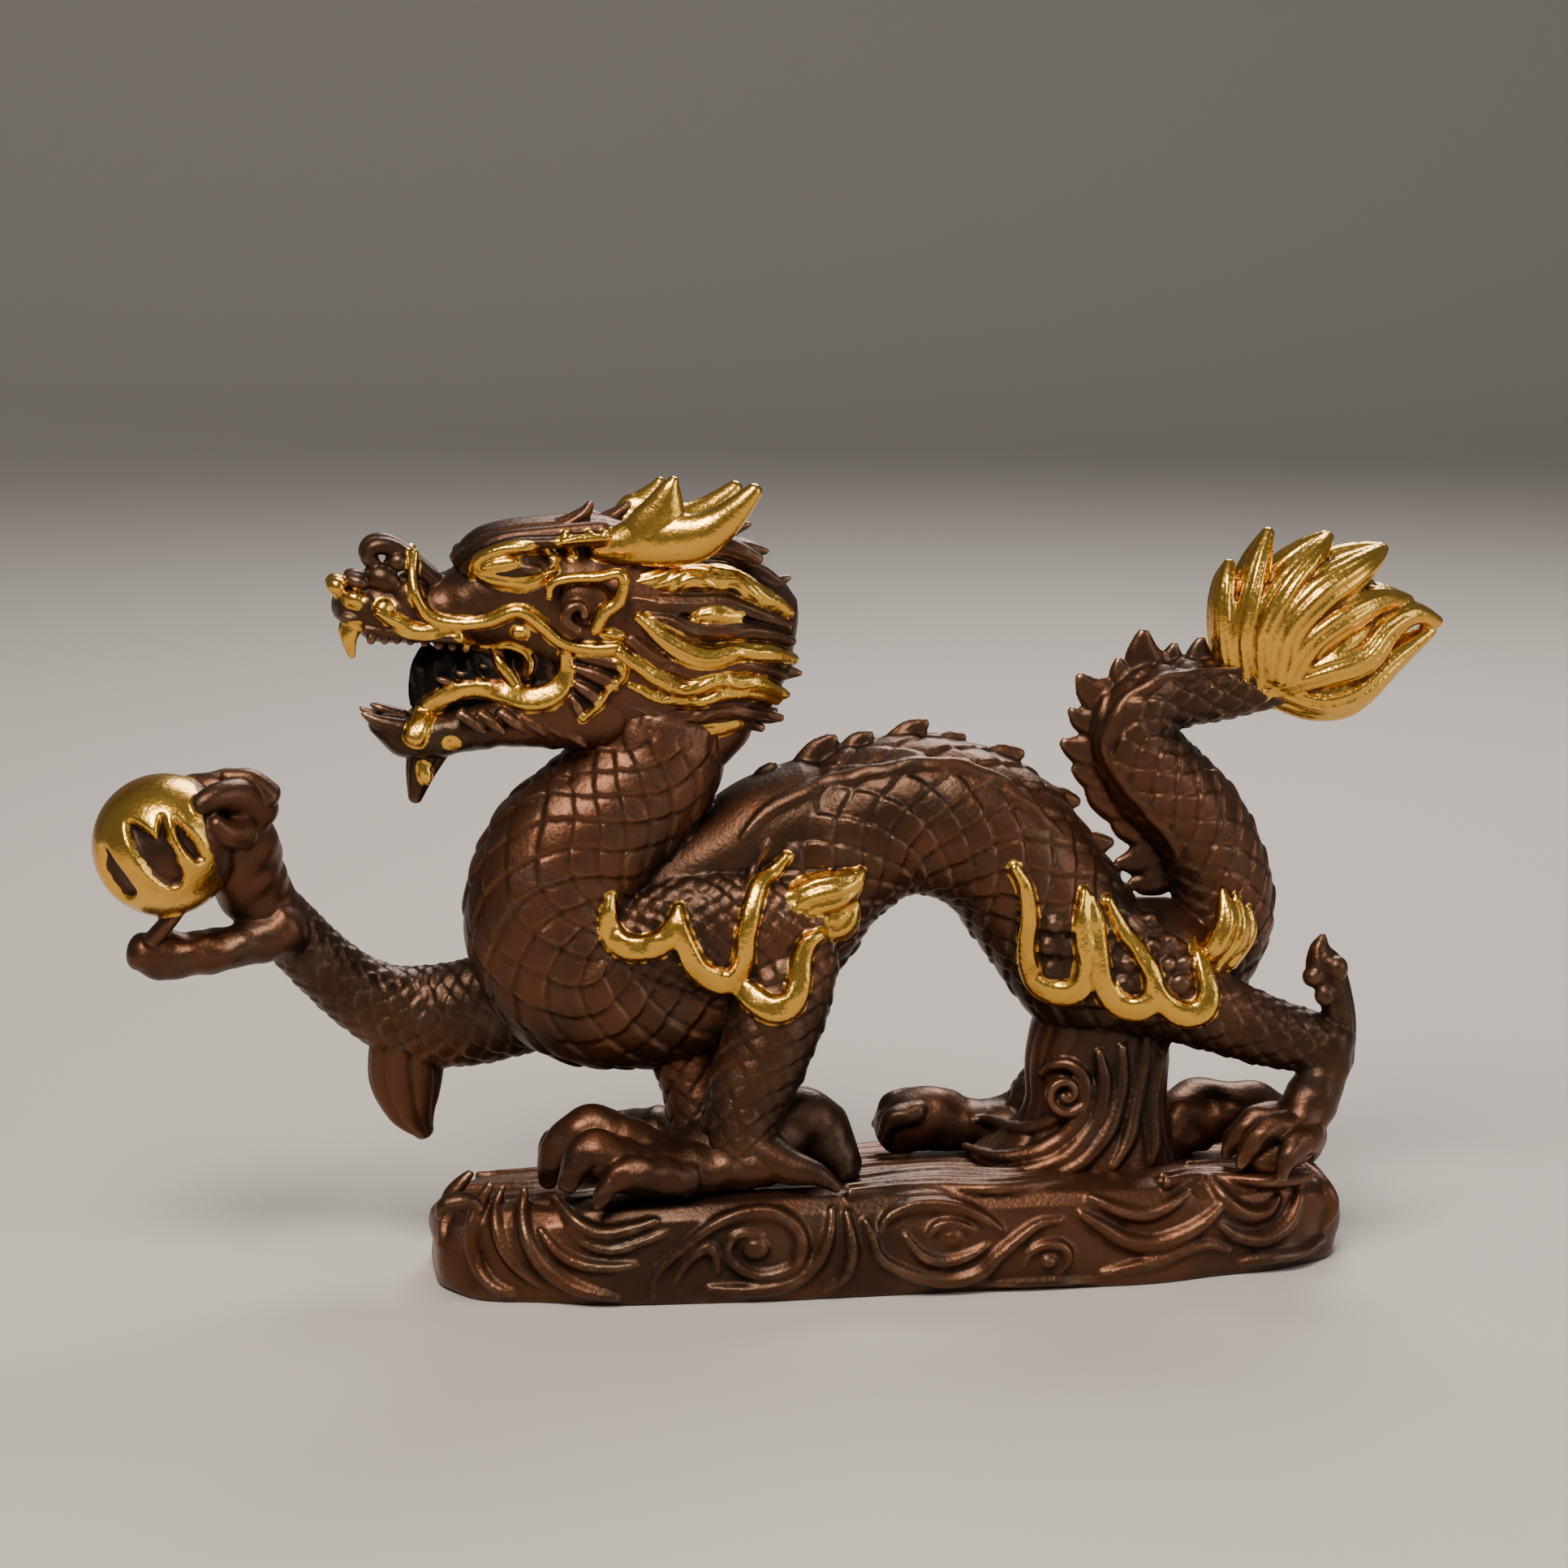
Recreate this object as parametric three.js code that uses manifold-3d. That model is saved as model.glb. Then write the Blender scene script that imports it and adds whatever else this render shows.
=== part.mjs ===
// Cast dragon striding over a cloud plinth, one solid. Millimetres, +Z up, head towards -X,
// the dragon's left side towards -Y. The origin is the centre of the plinth's underside.
import * as THREE from 'three';
import ManifoldModule from 'manifold-3d';

// ---------------------------------------------------------------- driving dimensions, mm
const PLINTH = { halfLength: 94, halfDepth: 30.5, height: 18.6, square: 3.2, edge: 3.0 };
const BALL = { x: -144, y: -1, z: 89.9, radius: 13.8 };
const BODY_DEPTH = 14.5;          // half depth of the trunk across Y
const TAIL_DEPTH = 9;             // half depth of the tail root across Y
const SPINE = { base: 3.4, depth: 1.7, sink: 2.5 };
const PATINA = { color: 0x3f2a1b, roughness: 0.38, metalness: 1 };
const MANE_DEPTH = 14.5;

const wasm = await ManifoldModule();
wasm.setup();
const { Manifold, Mesh } = wasm;

// ---------------------------------------------------------------- building blocks
const signedPower = (v, p) => Math.sign(v) * Math.abs(v) ** p;

// Catmull-Rom value of every column of the station rows at parameter t (0 .. rows-1).
function station(rows, t) {
  const i = Math.min(Math.floor(t), rows.length - 2);
  const u = t - i;
  const at = (k) => rows[Math.max(0, Math.min(rows.length - 1, k))];
  const [a, b, c, d] = [at(i - 1), at(i), at(i + 1), at(i + 2)];
  return b.map((_, k) => 0.5 * (2 * b[k] + (c[k] - a[k]) * u
    + (2 * a[k] - 5 * b[k] + 4 * c[k] - d[k]) * u * u
    + (3 * b[k] - a[k] - 3 * c[k] + d[k]) * u * u * u));
}

// A closed limb carried along stations [x, y, z, halfAcross, halfHigh]: superellipse sections,
// "across" kept as near as it can be to the side direction, both ends rounded. turn sets where the
// first corner of the section lies, so a three-sided ridge can show its edge.
function limb(rows, { sides = 8, steps = 1, power = 2, side = [0, 1, 0], ends = 0.8, caps = 0, turn = 0, flute = 0, flutes = 0 } = {}) {
  const ref = new THREE.Vector3(...side);
  const count = Math.round((rows.length - 1) * steps);
  const rings = [];
  for (let i = 0; i <= count; i += 1) {
    const t = (i * (rows.length - 1)) / count;
    const s = station(rows, t);
    const before = station(rows, Math.max(0, t - 0.05));
    const after = station(rows, Math.min(rows.length - 1, t + 0.05));
    const tangent = new THREE.Vector3(after[0] - before[0], after[1] - before[1], after[2] - before[2]).normalize();
    const across = ref.clone().addScaledVector(tangent, -ref.dot(tangent)).normalize();
    const high = new THREE.Vector3().crossVectors(tangent, across);
    rings.push({ centre: new THREE.Vector3(s[0], s[1], s[2]), tangent, across, high, a: Math.max(s[3], 0.15), b: Math.max(s[4], 0.15) });
  }
  const capped = (ring, sign) => [0.72].map((f) => ({
    ...ring,
    centre: ring.centre.clone().addScaledVector(ring.tangent, sign * f * ends * Math.min(ring.a, ring.b)),
    a: ring.a * Math.sqrt(1 - f * f), b: ring.b * Math.sqrt(1 - f * f),
  }));
  const first = rings[0];
  const last = rings[rings.length - 1];
  const all = caps > 0 ? [...capped(first, -1).reverse(), ...rings, ...capped(last, 1)] : rings;
  const points = [];
  for (const r of all) {
    for (let k = 0; k < sides; k += 1) {
      const f = turn + (2 * Math.PI * k) / sides;
      const ripple = 1 + flute * Math.cos(flutes * f);
      const p = r.centre.clone()
        .addScaledVector(r.across, r.a * ripple * signedPower(Math.cos(f), 2 / power))
        .addScaledVector(r.high, r.b * ripple * signedPower(Math.sin(f), 2 / power));
      points.push(p.x, p.y, p.z);
    }
  }
  const reach = (r, sign) => r.centre.clone().addScaledVector(r.tangent, sign * Math.max(ends, 0.05) * Math.min(r.a, r.b));
  const tipA = reach(first, -1);
  const tipB = reach(last, 1);
  points.push(tipA.x, tipA.y, tipA.z, tipB.x, tipB.y, tipB.z);
  const faces = [];
  const n = all.length;
  for (let i = 0; i + 1 < n; i += 1) {
    for (let k = 0; k < sides; k += 1) {
      const k1 = (k + 1) % sides;
      const [a, b, c, d] = [i * sides + k, i * sides + k1, (i + 1) * sides + k, (i + 1) * sides + k1];
      faces.push(a, b, d, a, d, c);
    }
  }
  for (let k = 0; k < sides; k += 1) {
    const k1 = (k + 1) % sides;
    faces.push(n * sides, k1, k, n * sides + 1, (n - 1) * sides + k, (n - 1) * sides + k1);
  }
  return solid(points, faces);
}

function solid(points, faces) {
  let volume = 0;
  for (let i = 0; i < faces.length; i += 3) {
    const [a, b, c] = [0, 1, 2].map((k) => new THREE.Vector3().fromArray(points, faces[i + k] * 3));
    volume += a.dot(b.cross(c));
  }
  const ordered = volume > 0 ? faces : faces.map((_, i) => faces[i - (i % 3) + [0, 2, 1][i % 3]]);
  return new Manifold(new Mesh({ numProp: 3, vertProperties: new Float32Array(points), triVerts: new Uint32Array(ordered) }));
}

const RIDGE = { sides: 3, turn: Math.PI };

// The same rows mirrored to the dragon's right side.
const mirrored = (rows) => rows.map((r) => [r[0], -r[1], ...r.slice(2)]);
const both = (rows, options) => [limb(rows, options), limb(mirrored(rows), options)];

// A blade-like spine from a foot on the back, leaning along (dx, dz).
function spine([x, z, dx, dz, length, y = 0, base = SPINE.base]) {
  const size = Math.hypot(dx, dz);
  const [ux, uz] = [dx / size, dz / size];
  return limb([
    [x - ux * SPINE.sink, y, z - uz * SPINE.sink, SPINE.depth, base],
    [x + ux * length + 0.8, y, z + uz * length, 0.4, 0.45],
  ], { sides: 4, caps: 0, ends: 0.2 });
}

// ---------------------------------------------------------------- trunk and tail
const trunk = [
  limb([ // neck down to the breast
    [-46, 0, 110, 13, 13.4], [-48.5, 0, 102, 13.5, 14], [-56, 0, 93.5, BODY_DEPTH, 15.2],
    [-64.6, 0, 84.3, BODY_DEPTH, 16.6], [-68.3, 0, 72.5, BODY_DEPTH, 17], [-66.5, 0, 61, BODY_DEPTH, 17.2],
  ], { sides: 11, steps: 1.2, caps: 1 }),
  limb([ // breast, shoulder and the arched back
    [-64, 0, 60, BODY_DEPTH, 17.2], [-50, 0, 59.8, BODY_DEPTH, 17.4], [-37, 0, 62.5, BODY_DEPTH, 18],
    [-25, 0, 71.5, BODY_DEPTH, 18], [-14, 0, 85, BODY_DEPTH, 15.6], [-1, 0, 91.2, BODY_DEPTH, 15.5],
    [10, 0, 91.3, BODY_DEPTH, 15.6], [22.6, 0, 85, BODY_DEPTH, 15.4], [33, 0, 71.5, BODY_DEPTH, 15.2],
    [41, 0, 60.5, BODY_DEPTH, 15], [50, 0, 56.5, 13.5, 13.5],
  ], { sides: 11, steps: 1.2, caps: 1 }),
  limb([[-46, 0, 78, 11, 9], [-36, 0, 84, 12, 9.4], [-26, 0, 88, 13, 12], [-16, 0, 90, 13, 14]], { sides: 8 }),
  limb([[46, 0, 66, 12.4, 8], [54, -1, 62.5, 13, 11], [62, -1, 61, 11.4, 10]], { sides: 8 }),
  limb([ // tail rising from the hips
    [54, 0, 54, 8, 9], [62, 0, 57, TAIL_DEPTH, 10.5], [68, 0, 65, TAIL_DEPTH, 10.4], [69, 0, 75.2, TAIL_DEPTH, 10],
    [63, 0, 88.8, TAIL_DEPTH, 10], [53.5, 0, 99, 8.6, 9.6], [49.5, 0, 107.5, 8, 8.4],
  ], { sides: 10, steps: 1.17, caps: 1 }),
  limb([[51.5, 0, 111.5, 7.6, 8], [57.5, 0, 114.6, 6.8, 6.8], [67, 0, 115.6, 6, 6], [79, 0, 117.4, 5, 5.2]], { sides: 9, caps: 1 }),
];

// ---------------------------------------------------------------- spines along the back
const spines = [
  [-24.5, 98.5, 0.15, 1, 4.2], [-14.5, 102.5, 0.45, 1, 6.4], [-6.5, 105, 0.5, 1, 4.6], [3.5, 106, 0.65, 1, 6],
  [12, 105, 0.9, 1, 3.8], [21.5, 101, 1.5, 1, 6.2], [26.5, 97, 1.5, 0.5, 3.6], [32.5, 92.6, 2, 0.6, 6.2],
  [35.8, 88, 1.6, 0.2, 3.6], [40.5, 83, 1.8, 1, 5.6], [43, 76.8, 1.5, 0.6, 4.2],
  [52.6, 82, -1, -0.4, 5, 0, 2.8], [51, 88, -1, 0.3, 5.4, 0, 2.8], [46.5, 93.5, -1, 0.4, 6.2], [43.5, 99, -1, 0.1, 5.4],
  [41.5, 104.2, -1, 0.1, 6.2], [41.2, 110, -1, 0.3, 4.6], [43.6, 115.2, -1, 0.7, 6], [48.6, 118.8, -0.7, 1, 3.8],
  [53.2, 120.6, -0.25, 1, 7.2], [59, 121, -0.3, 1, 4], [64.6, 120.8, -0.25, 1, 5.2], [71, 120.4, 0.2, 1, 3.6],
].map(spine);

// ---------------------------------------------------------------- tail tuft
const tuft = [
  limb([
    [73, 0, 116, 4.6, 4.6], [79, 0, 120, 8, 9.5], [86, 0, 125.5, 10.5, 15], [93, 0, 131, 9, 16.4], [97.5, 0, 134.5, 5.5, 12],
  ], { sides: 12, flute: 0.05, flutes: 6 }),
  ...[
    [[75, 119, 4, 4], [70, 130, 4.6, 4.4], [68.4, 137, 3.6, 3], [69.6, 141.2, 1.2, 1.2]],
    [[78, 122, 6, 5], [76, 134, 6.6, 5], [75.6, 142, 4.6, 3.2], [77.7, 147.8, 0.8, 0.8]],
    [[82, 124, 8, 5], [84, 136, 8, 5], [86.5, 143, 5, 3.4], [90.4, 146.6, 0.8, 0.8]],
    [[84, 122, 8, 5], [92, 132, 8.6, 5.6], [97, 139.5, 5.4, 3.4], [101.4, 143.4, 0.8, 0.8]],
    [[84, 118, 7, 5], [96, 126, 7.6, 5.4], [103.5, 130, 4.6, 3], [109, 131.8, 0.8, 0.9]],
    [[82, 115.6, 5, 3.4], [94, 114.6, 6, 4.6], [104, 120.4, 4.6, 3.8], [113.8, 127.8, 0.8, 0.9]],
  ].map((lock) => limb(lock.map(([x, z, a, b]) => [x, 0, z, a, b]), { sides: 5 })),
];

// ---------------------------------------------------------------- head
const head = [
  limb([ // muzzle to nape
    [-107, 0, 136.6, 6.2, 4.4], [-101, 0, 135, 8.4, 6.8], [-93, 0, 133.2, 8.6, 6.8], [-85, 0, 135.8, 10, 8.2],
    [-76, 0, 137.6, 12.4, 11.4], [-66, 0, 136.6, 13.6, 14], [-52, 0, 131.5, 14.2, 16.4],
  ], { sides: 10, power: 2.3 }),
  limb([ // lower jaw and throat
    [-101.5, 0, 112.8, 3.6, 2.4], [-97, 0, 110.4, 6.6, 4.4], [-90, 0, 110.6, 8.2, 4.8], [-80, 0, 112.6, 9.6, 5.6],
    [-70, 0, 115, 11.6, 8.6], [-58, 0, 117, 13, 11],
  ], { sides: 9, power: 2.4 }),
  limb([[-93.5, 0, 120.5, 4.6, 7.4], [-84, 0, 120.5, 6.4, 8], [-72, 0, 122, 9.5, 9]], { sides: 8, power: 2.4, ends: 0.2 }),
  limb([[-91.5, 0, 108, 3.6, 4.4], [-93.6, 0, 102.4, 3, 3.2], [-94.8, 0, 97.6, 1.7, 1.5]], { sides: 7 }),
  limb([[-78, 0, 146, 4, 2.6], [-67, 0, 149.4, 5, 3], [-58, 0, 149.6, 5.5, 3]], { sides: 5 }),
  limb([[-72, -3, 149.4, 2.6, 2.2], [-65.5, -3.4, 151.8, 2.4, 2.2], [-60.6, -3.6, 155, 0.8, 0.8]], { sides: 6 }),
  limb([[-64, 3, 149.6, 2.6, 2.2], [-58, 3.4, 151.6, 2.4, 2], [-52.8, 3.6, 154.6, 0.8, 0.8]], { sides: 6 }),
  limb([[-109.2, -1, 139.2, 2.6, 2.4], [-105, -2, 140.4, 3.6, 2.8]], { sides: 7 }),
  limb([ // mane mass behind the cheeks
    [-56, 0, 127, MANE_DEPTH, 17], [-44, 0, 127.5, MANE_DEPTH + 0.5, 18.2], [-33, 0, 126.6, 13.6, 18.8], [-23.5, 0, 124.5, 8.4, 13.6],
  ], { sides: 12, power: 2.3, ends: 0.4 }),
  // nose curls, brows, ears, cheeks, fangs, lower teeth and moustache on both sides
  ...both([[-90, -3.6, 140.6, 2, 2], [-94, -3.8, 144, 2, 2.2], [-98.4, -4, 146.8, 1.9, 2.1], [-101.8, -4.2, 147.2, 1.9, 2.2], [-101.6, -4.4, 144.4, 1.6, 1.6]], { sides: 5 }),
  ...both([[-85.6, -6, 142.8, 2, 2], [-80, -9, 146, 2.6, 2.6], [-70, -11, 148, 3, 2.6], [-54, -9.6, 149, 3, 2.6]], { sides: 5 }),
  ...both([[-68.4, -14, 140, 1.4, 1], [-55.6, -15.4, 143, 1.6, 1.5], [-55.4, -15.4, 138.4, 1.6, 1.5], [-60, -15, 133.4, 1.6, 1.6]], { sides: 4 }),
  ...both([[-76, -8.4, 121.6, 2, 3], [-66, -12.4, 121, 2.6, 6.4], [-56, -13.4, 121.5, 2.2, 6]], { sides: 5 }),
  ...both([[-106.2, -4.4, 132.4, 1.6, 2], [-107.4, -4.6, 129.2, 1.3, 1.6], [-107.2, -4.6, 126.8, 0.5, 0.6]], { sides: 5, caps: 0 }),
  ...both([[-97.5, -4.4, 112, 1.8, 2], [-102, -4.6, 113.4, 1.4, 1.6], [-105, -4.6, 115, 0.5, 0.5]], { sides: 5, caps: 0 }),
  ...both([
    [-94.8, -7.4, 139.6, 1.2, 1.3], [-89, -9.2, 134.3, 1.2, 1.3], [-75, -12.2, 135.8, 1.3, 1.4], [-60, -14.4, 128.8, 1.3, 1.5],
  ], { sides: 4 }),
];

const horns = [[-1, 0], [1, -2.6]].flatMap(([sign, drop]) => [
  limb([
    [-57, sign * 8, 147.4, 3.6, 3], [-49.5, sign * 9.6, 148.8, 4, 4.4], [-41.5, sign * 11.4, 150.2 + drop * 0.3, 3.8, 4.6],
    [-34.5, sign * 12.8, 153.4 + drop * 0.6, 3.1, 3.4], [-28.8, sign * 13.8, 158.4 + drop, 1.4, 1.6],
  ], { sides: 7 }),
  limb([
    [-47, sign * 9.8, 149, 3.6, 4.6], [-45.4, sign * 10.6, 154.6, 3, 3.2], [-44.4, sign * 11.4, 160.6 + drop, 1.3, 1.4],
  ], { sides: 7 }),
]);

// Locks of hair along the side of the mane: [x, z, y, thickness, width] from the cheek to the tip.
// The right side, turned away from the room, has every third one.
const LOCKS = [
  [[-55, 141.6, -13.4, 2.4, 3], [-46, 143.6, -14.6, 2.6, 3.4], [-34, 141.2, -13.6, 2.6, 3.6], [-21, 134, -8.8, 1.4, 1.8]],
  [[-57, 137, -14.2, 2, 2.2], [-49, 129.6, -15.4, 2.4, 2.8], [-36, 128, -14.6, 2.6, 2.6], [-19.8, 124.6, -8.6, 1.4, 1.8]],
  [[-59, 128.4, -14.6, 2, 2.2], [-49, 122, -15.6, 2.4, 3], [-36, 120.6, -14.4, 2.6, 3], [-21.4, 117, -8.8, 1.4, 2]],
  [[-56, 120, -14.2, 2, 2.4], [-40, 115.4, -14.4, 2.6, 2.8], [-23.6, 112.2, -8.6, 1.4, 1.9]],
  [[-67, 112, -11.4, 1.6, 1.8], [-55, 109.8, -13, 2.4, 2.6], [-33, 112, -10.6, 2, 2.2]],
];
const placed = (lock) => lock.map(([x, z, y, a, b]) => [x, y, z, a, b]);
const locks = [
  ...LOCKS.map((lock) => limb(placed(lock), { sides: 6 })),
  ...LOCKS.filter((_, i) => i % 3 === 0).map((lock) => limb(mirrored(placed(lock)), { sides: 5 })),
];

// ---------------------------------------------------------------- raised right arm and the ball
const arm = [
  limb([
    [-72, 8, 55, 8, 11], [-84, 12, 51, 7.6, 10.6], [-94, 13.6, 50.4, 7.2, 10], [-104.5, 13, 54.6, 6.6, 7.6], [-114, 11, 63, 6, 6.4],
    [-121.4, 8.6, 71.4, 6, 6.2], [-127, 5.6, 80.4, 7, 7.6], [-129.4, 2.4, 89, 8, 8], [-131, 0, 95.6, 7.2, 6.6],
  ], { sides: 9 }),
  limb([[-96.4, 13, 43, 4.6, 7.4], [-96, 13, 36, 4.6, 7.2], [-94.4, 13, 29.6, 3.4, 4]], { sides: 7 }),
  limb([[-127, 1, 96, 4.6, 4.6], [-129, -3, 99, 3.8, 3.6], [-134.4, -6.6, 99.4, 2.8, 2.6], [-138, -9, 97.6, 1.2, 1.4]], { sides: 5, side: [0, 0, 1] }),
  limb([[-125.6, 3, 97, 4.6, 5], [-137, 2, 101, 3.4, 2.2]], { sides: 6 }),
  limb([[-121, 5, 71, 6, 6], [-130, 2.6, 68.4, 5.6, 4.4], [-140, 0.4, 67.6, 5, 4.4], [-148.6, -0.6, 68.4, 4, 4.6]], { sides: 8, caps: 1 }),
  Manifold.sphere(BALL.radius, 16).translate([BALL.x, BALL.y, BALL.z]),
];

// ---------------------------------------------------------------- left foreleg
const foreleg = [
  limb([[-52, -7, 66, 8, 12], [-40, -10, 69, 9, 14], [-27, -12.5, 70, 7.6, 12.4], [-17.6, -14.5, 71.6, 5.6, 9.4]], { sides: 9 }),
  limb([
    [-20.4, -14.5, 67, 5.8, 8.4], [-24, -15.5, 57, 7, 9.6], [-27.6, -16.2, 47, 7.4, 9], [-31.6, -17, 38, 7.2, 8], [-33.6, -17.6, 29, 7.6, 7.6],
  ], { sides: 9 }),
  limb([[-42, -3, 50, 6, 9.4], [-39.4, -5, 38, 6, 6.4], [-38.6, -7, 26, 7, 7]], { sides: 7 }),
  limb([[-20, -15.6, 76, 3.4, 5], [-14.6, -16, 78.6, 3.2, 5], [-9.4, -15.6, 80.2, 1.8, 2.4]], { sides: 6 }),
  limb([[-28, -18, 26, 7.6, 5], [-40, -19, 25.4, 7.6, 5.6], [-52, -20, 25.6, 7.6, 6.2], [-59, -19.6, 25.6, 7.6, 6]], { sides: 8 }),
  limb([[-34, -16, 30, 7, 6], [-46, -15, 26, 7, 5], [-56, -13, 28.6, 6, 5.4], [-61.6, -12, 31.2, 5, 5], [-66.4, -12, 27.6, 4.2, 4.2], [-68.6, -12, 23, 3, 3]], { sides: 7 }),
  limb([[-54, -22, 27, 4, 4], [-59.6, -23, 30, 3.4, 3.8], [-64, -23.6, 26.4, 3.2, 3], [-66.6, -24, 22, 1.2, 1.2]], { sides: 6 }),
  limb([[-26, -12, 28, 7, 7], [-19, -10.6, 32.6, 6.4, 6], [-14.6, -10, 28.6, 6.4, 6], [-10.4, -10, 22, 7, 4]], { sides: 8 }),
  limb([[-30, -19, 27, 5, 4], [-18.6, -21.4, 25.6, 2.2, 2.4]], { sides: 6 }),
];

// ---------------------------------------------------------------- hind legs and the cloud that carries the hips
const hind = [
  limb([[46, -6, 62, 8.6, 13], [54, -8.6, 57, 8.6, 11.6], [64, -11, 51.8, 7.4, 8.2], [75.6, -13, 47.4, 6.2, 7], [87, -14.4, 44.6, 5.4, 5.8]], { sides: 9 }),
  limb([[89.2, -14.6, 42, 4.2, 4.2], [89.2, -14.8, 51, 3.8, 4], [87.6, -14.6, 58.4, 3.4, 4.6], [86.6, -14.2, 64.6, 1.6, 1.6]], { sides: 7 }),
  limb([[88.6, -14.8, 45, 5.2, 4.8], [85.6, -15.4, 37, 5.4, 5.2], [82, -16.4, 30.6, 6.2, 5.8], [78, -17.4, 25, 7.4, 6.4], [73, -18, 22, 6.6, 4.6]], { sides: 8 }),
  limb([[77, -20, 27, 3, 3.4], [71.6, -21, 26, 2.8, 3], [68, -21.4, 22, 1.4, 1.6]], { sides: 6 }),
  limb([[78, -13, 28, 3, 3.4], [69, -12.4, 23, 1.8, 2]], { sides: 6 }),
  limb([[50, 7, 60, 8, 11], [46, 10, 48, 8, 9], [41, 12, 36, 7, 8], [33, 13.4, 26, 6.6, 6]], { sides: 8 }),
  limb([[36, 13, 24, 6.6, 6], [22, 14.2, 22.4, 6.6, 5.4], [11, 14.6, 24.4, 7, 6.6], [4, 14.4, 22, 6, 5.2]], { sides: 8, caps: 1 }),
  limb([ // cloud column
    [40, 0, 14, 17, 25], [42.5, 0, 23, 14.6, 18.6], [43.4, 0, 31, 12.4, 15.4], [43.6, 0, 41, 11.4, 15.6], [45, 0, 52, 11, 14],
  ], { sides: 12, flute: 0.045, flutes: 6, ends: 0.2 }),
  limb([[58, 5, 21, 8, 6], [69, 6, 25.4, 7, 6.4], [86, 2, 21, 6.4, 5.4]], { sides: 7 }),
];

// ---------------------------------------------------------------- flame borders at the left shoulder and hip
const FLAMES = [
  [[-57.4, -13, 78, 0.7], [-57, -15.6, 71, 1.5], [-51, -17, 68.4, 1.6], [-46.4, -17.6, 71, 1.3], [-44.2, -17, 77, 0.5]],
  [[-43.4, -17.8, 72, 1], [-40.4, -18.6, 65, 1.5], [-35, -19, 62.4, 1.7], [-31.8, -19.4, 68, 1.3], [-30.4, -19, 76, 0.9], [-23, -16.6, 86, 0.4]],
  [[-32.4, -19, 63.6, 1.2], [-27, -20.8, 57.8, 1.7], [-22, -20.8, 60, 1.6], [-20, -20.2, 68, 1.4], [-16, -19, 72, 1.2]],
  [[23.6, -12, 80.4, 0.5], [26, -14.4, 70, 1.4], [27.6, -15.4, 60, 1.5], [33, -16.2, 56.4, 1.7], [37.4, -16.4, 62, 1.5], [37, -15, 77, 0.5]],
  [[40.6, -16.6, 62, 1.4], [44, -17.4, 54.6, 1.6], [49.6, -17.6, 54, 1.7], [50.6, -17.4, 61, 1.5], [42.4, -14.6, 74.4, 0.5]],
  [[51, -17.4, 57.6, 1.2], [55.4, -17.6, 52.8, 1.6], [61, -16.4, 54, 1.6], [61.4, -14, 62, 1.4]],
  [[62.4, -11, 62.4, 2], [67, -10.4, 67.6, 2.6], [67, -9.8, 76, 0.7]],
];
const flames = FLAMES.map((rows) => limb(rows.map(([x, y, z, r]) => [x, y, z, r * 1.2, r * 1.3]), RIDGE));

// ---------------------------------------------------------------- plinth of rolling cloud
// Its top falls from the front edge to the back and towards both ends.
function plinth() {
  const around = 36;
  const { halfLength, halfDepth, height, square, edge } = PLINTH;
  const levels = [ // share of the height, inset, depth of the carving
    [0, 0.8, 0.1], [0.06, 0, 0.5], [0.3, 0, 1], [0.62, 0.2, 1], [0.9, edge * 0.6, 0.8], [1, edge * 2.2, 0.3],
  ];
  const top = (x, y) => height - 0.1 * y - 3 * (x / halfLength) ** 4;
  const points = [];
  for (const [share, inset, carve] of levels) {
    for (let k = 0; k < around; k += 1) {
      const f = (2 * Math.PI * k) / around;
      const wave = carve * (0.7 * Math.sin(9 * f + share * 7) + 0.45 * Math.sin(14 * f - share * 5));
      const x = (halfLength - inset - 0.9 + wave) * signedPower(Math.cos(f), 2 / square);
      const y = (halfDepth - inset - 0.9 + wave) * signedPower(Math.sin(f), 2 / square);
      points.push(x, y, share * (top(x, y) + 0.8 * carve * Math.sin(7 * f + 1)));
    }
  }
  points.push(0, 0, 0, 0, 0, height + 0.6);
  const faces = [];
  const rings = levels.length;
  for (let i = 0; i + 1 < rings; i += 1) {
    for (let k = 0; k < around; k += 1) {
      const k1 = (k + 1) % around;
      faces.push(i * around + k, i * around + k1, (i + 1) * around + k1, i * around + k, (i + 1) * around + k1, (i + 1) * around + k);
    }
  }
  for (let k = 0; k < around; k += 1) {
    const k1 = (k + 1) % around;
    faces.push(rings * around, k1, k, rings * around + 1, (rings - 1) * around + k, (rings - 1) * around + k1);
  }
  return solid(points, faces);
}

// A raised scroll on the plinth's front face: centre, outer radius, turns, sense of turning.
function scroll(x, z, radius, turns, sense, start) {
  const rows = [];
  const count = 7;
  for (let i = 0; i <= count; i += 1) {
    const u = i / count;
    const f = start + sense * u * turns * 2 * Math.PI;
    const r = radius * (1 - 0.84 * u);
    rows.push([x + r * Math.cos(f), -PLINTH.halfDepth + 1.4, z + r * Math.sin(f) * 0.82, 1.7 - 0.5 * u, 1.7 - 0.5 * u]);
  }
  return limb(rows, RIDGE);
}
const scrolls = [
  scroll(-32.4, 11.2, 8.6, 1.3, -1, 2.4),
  scroll(6.4, 11, 8.6, 1.3, 1, 0.4),
  ...[
    [[-68, -28, 18, 1.4, 1.6], [-62, -28.8, 11.4, 1.8, 1.8], [-53, -29, 9, 1.8, 1.8], [-47, -29, 14, 1, 1.2]],
    [[36, -28.8, 12.8, 1.2, 1.4], [43, -29, 8, 1.8, 1.8], [52, -28.8, 8.6, 1.8, 1.8], [61, -28.4, 13.6, 1, 1.2]],
  ].map((rows) => limb(rows, RIDGE)),
];

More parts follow.
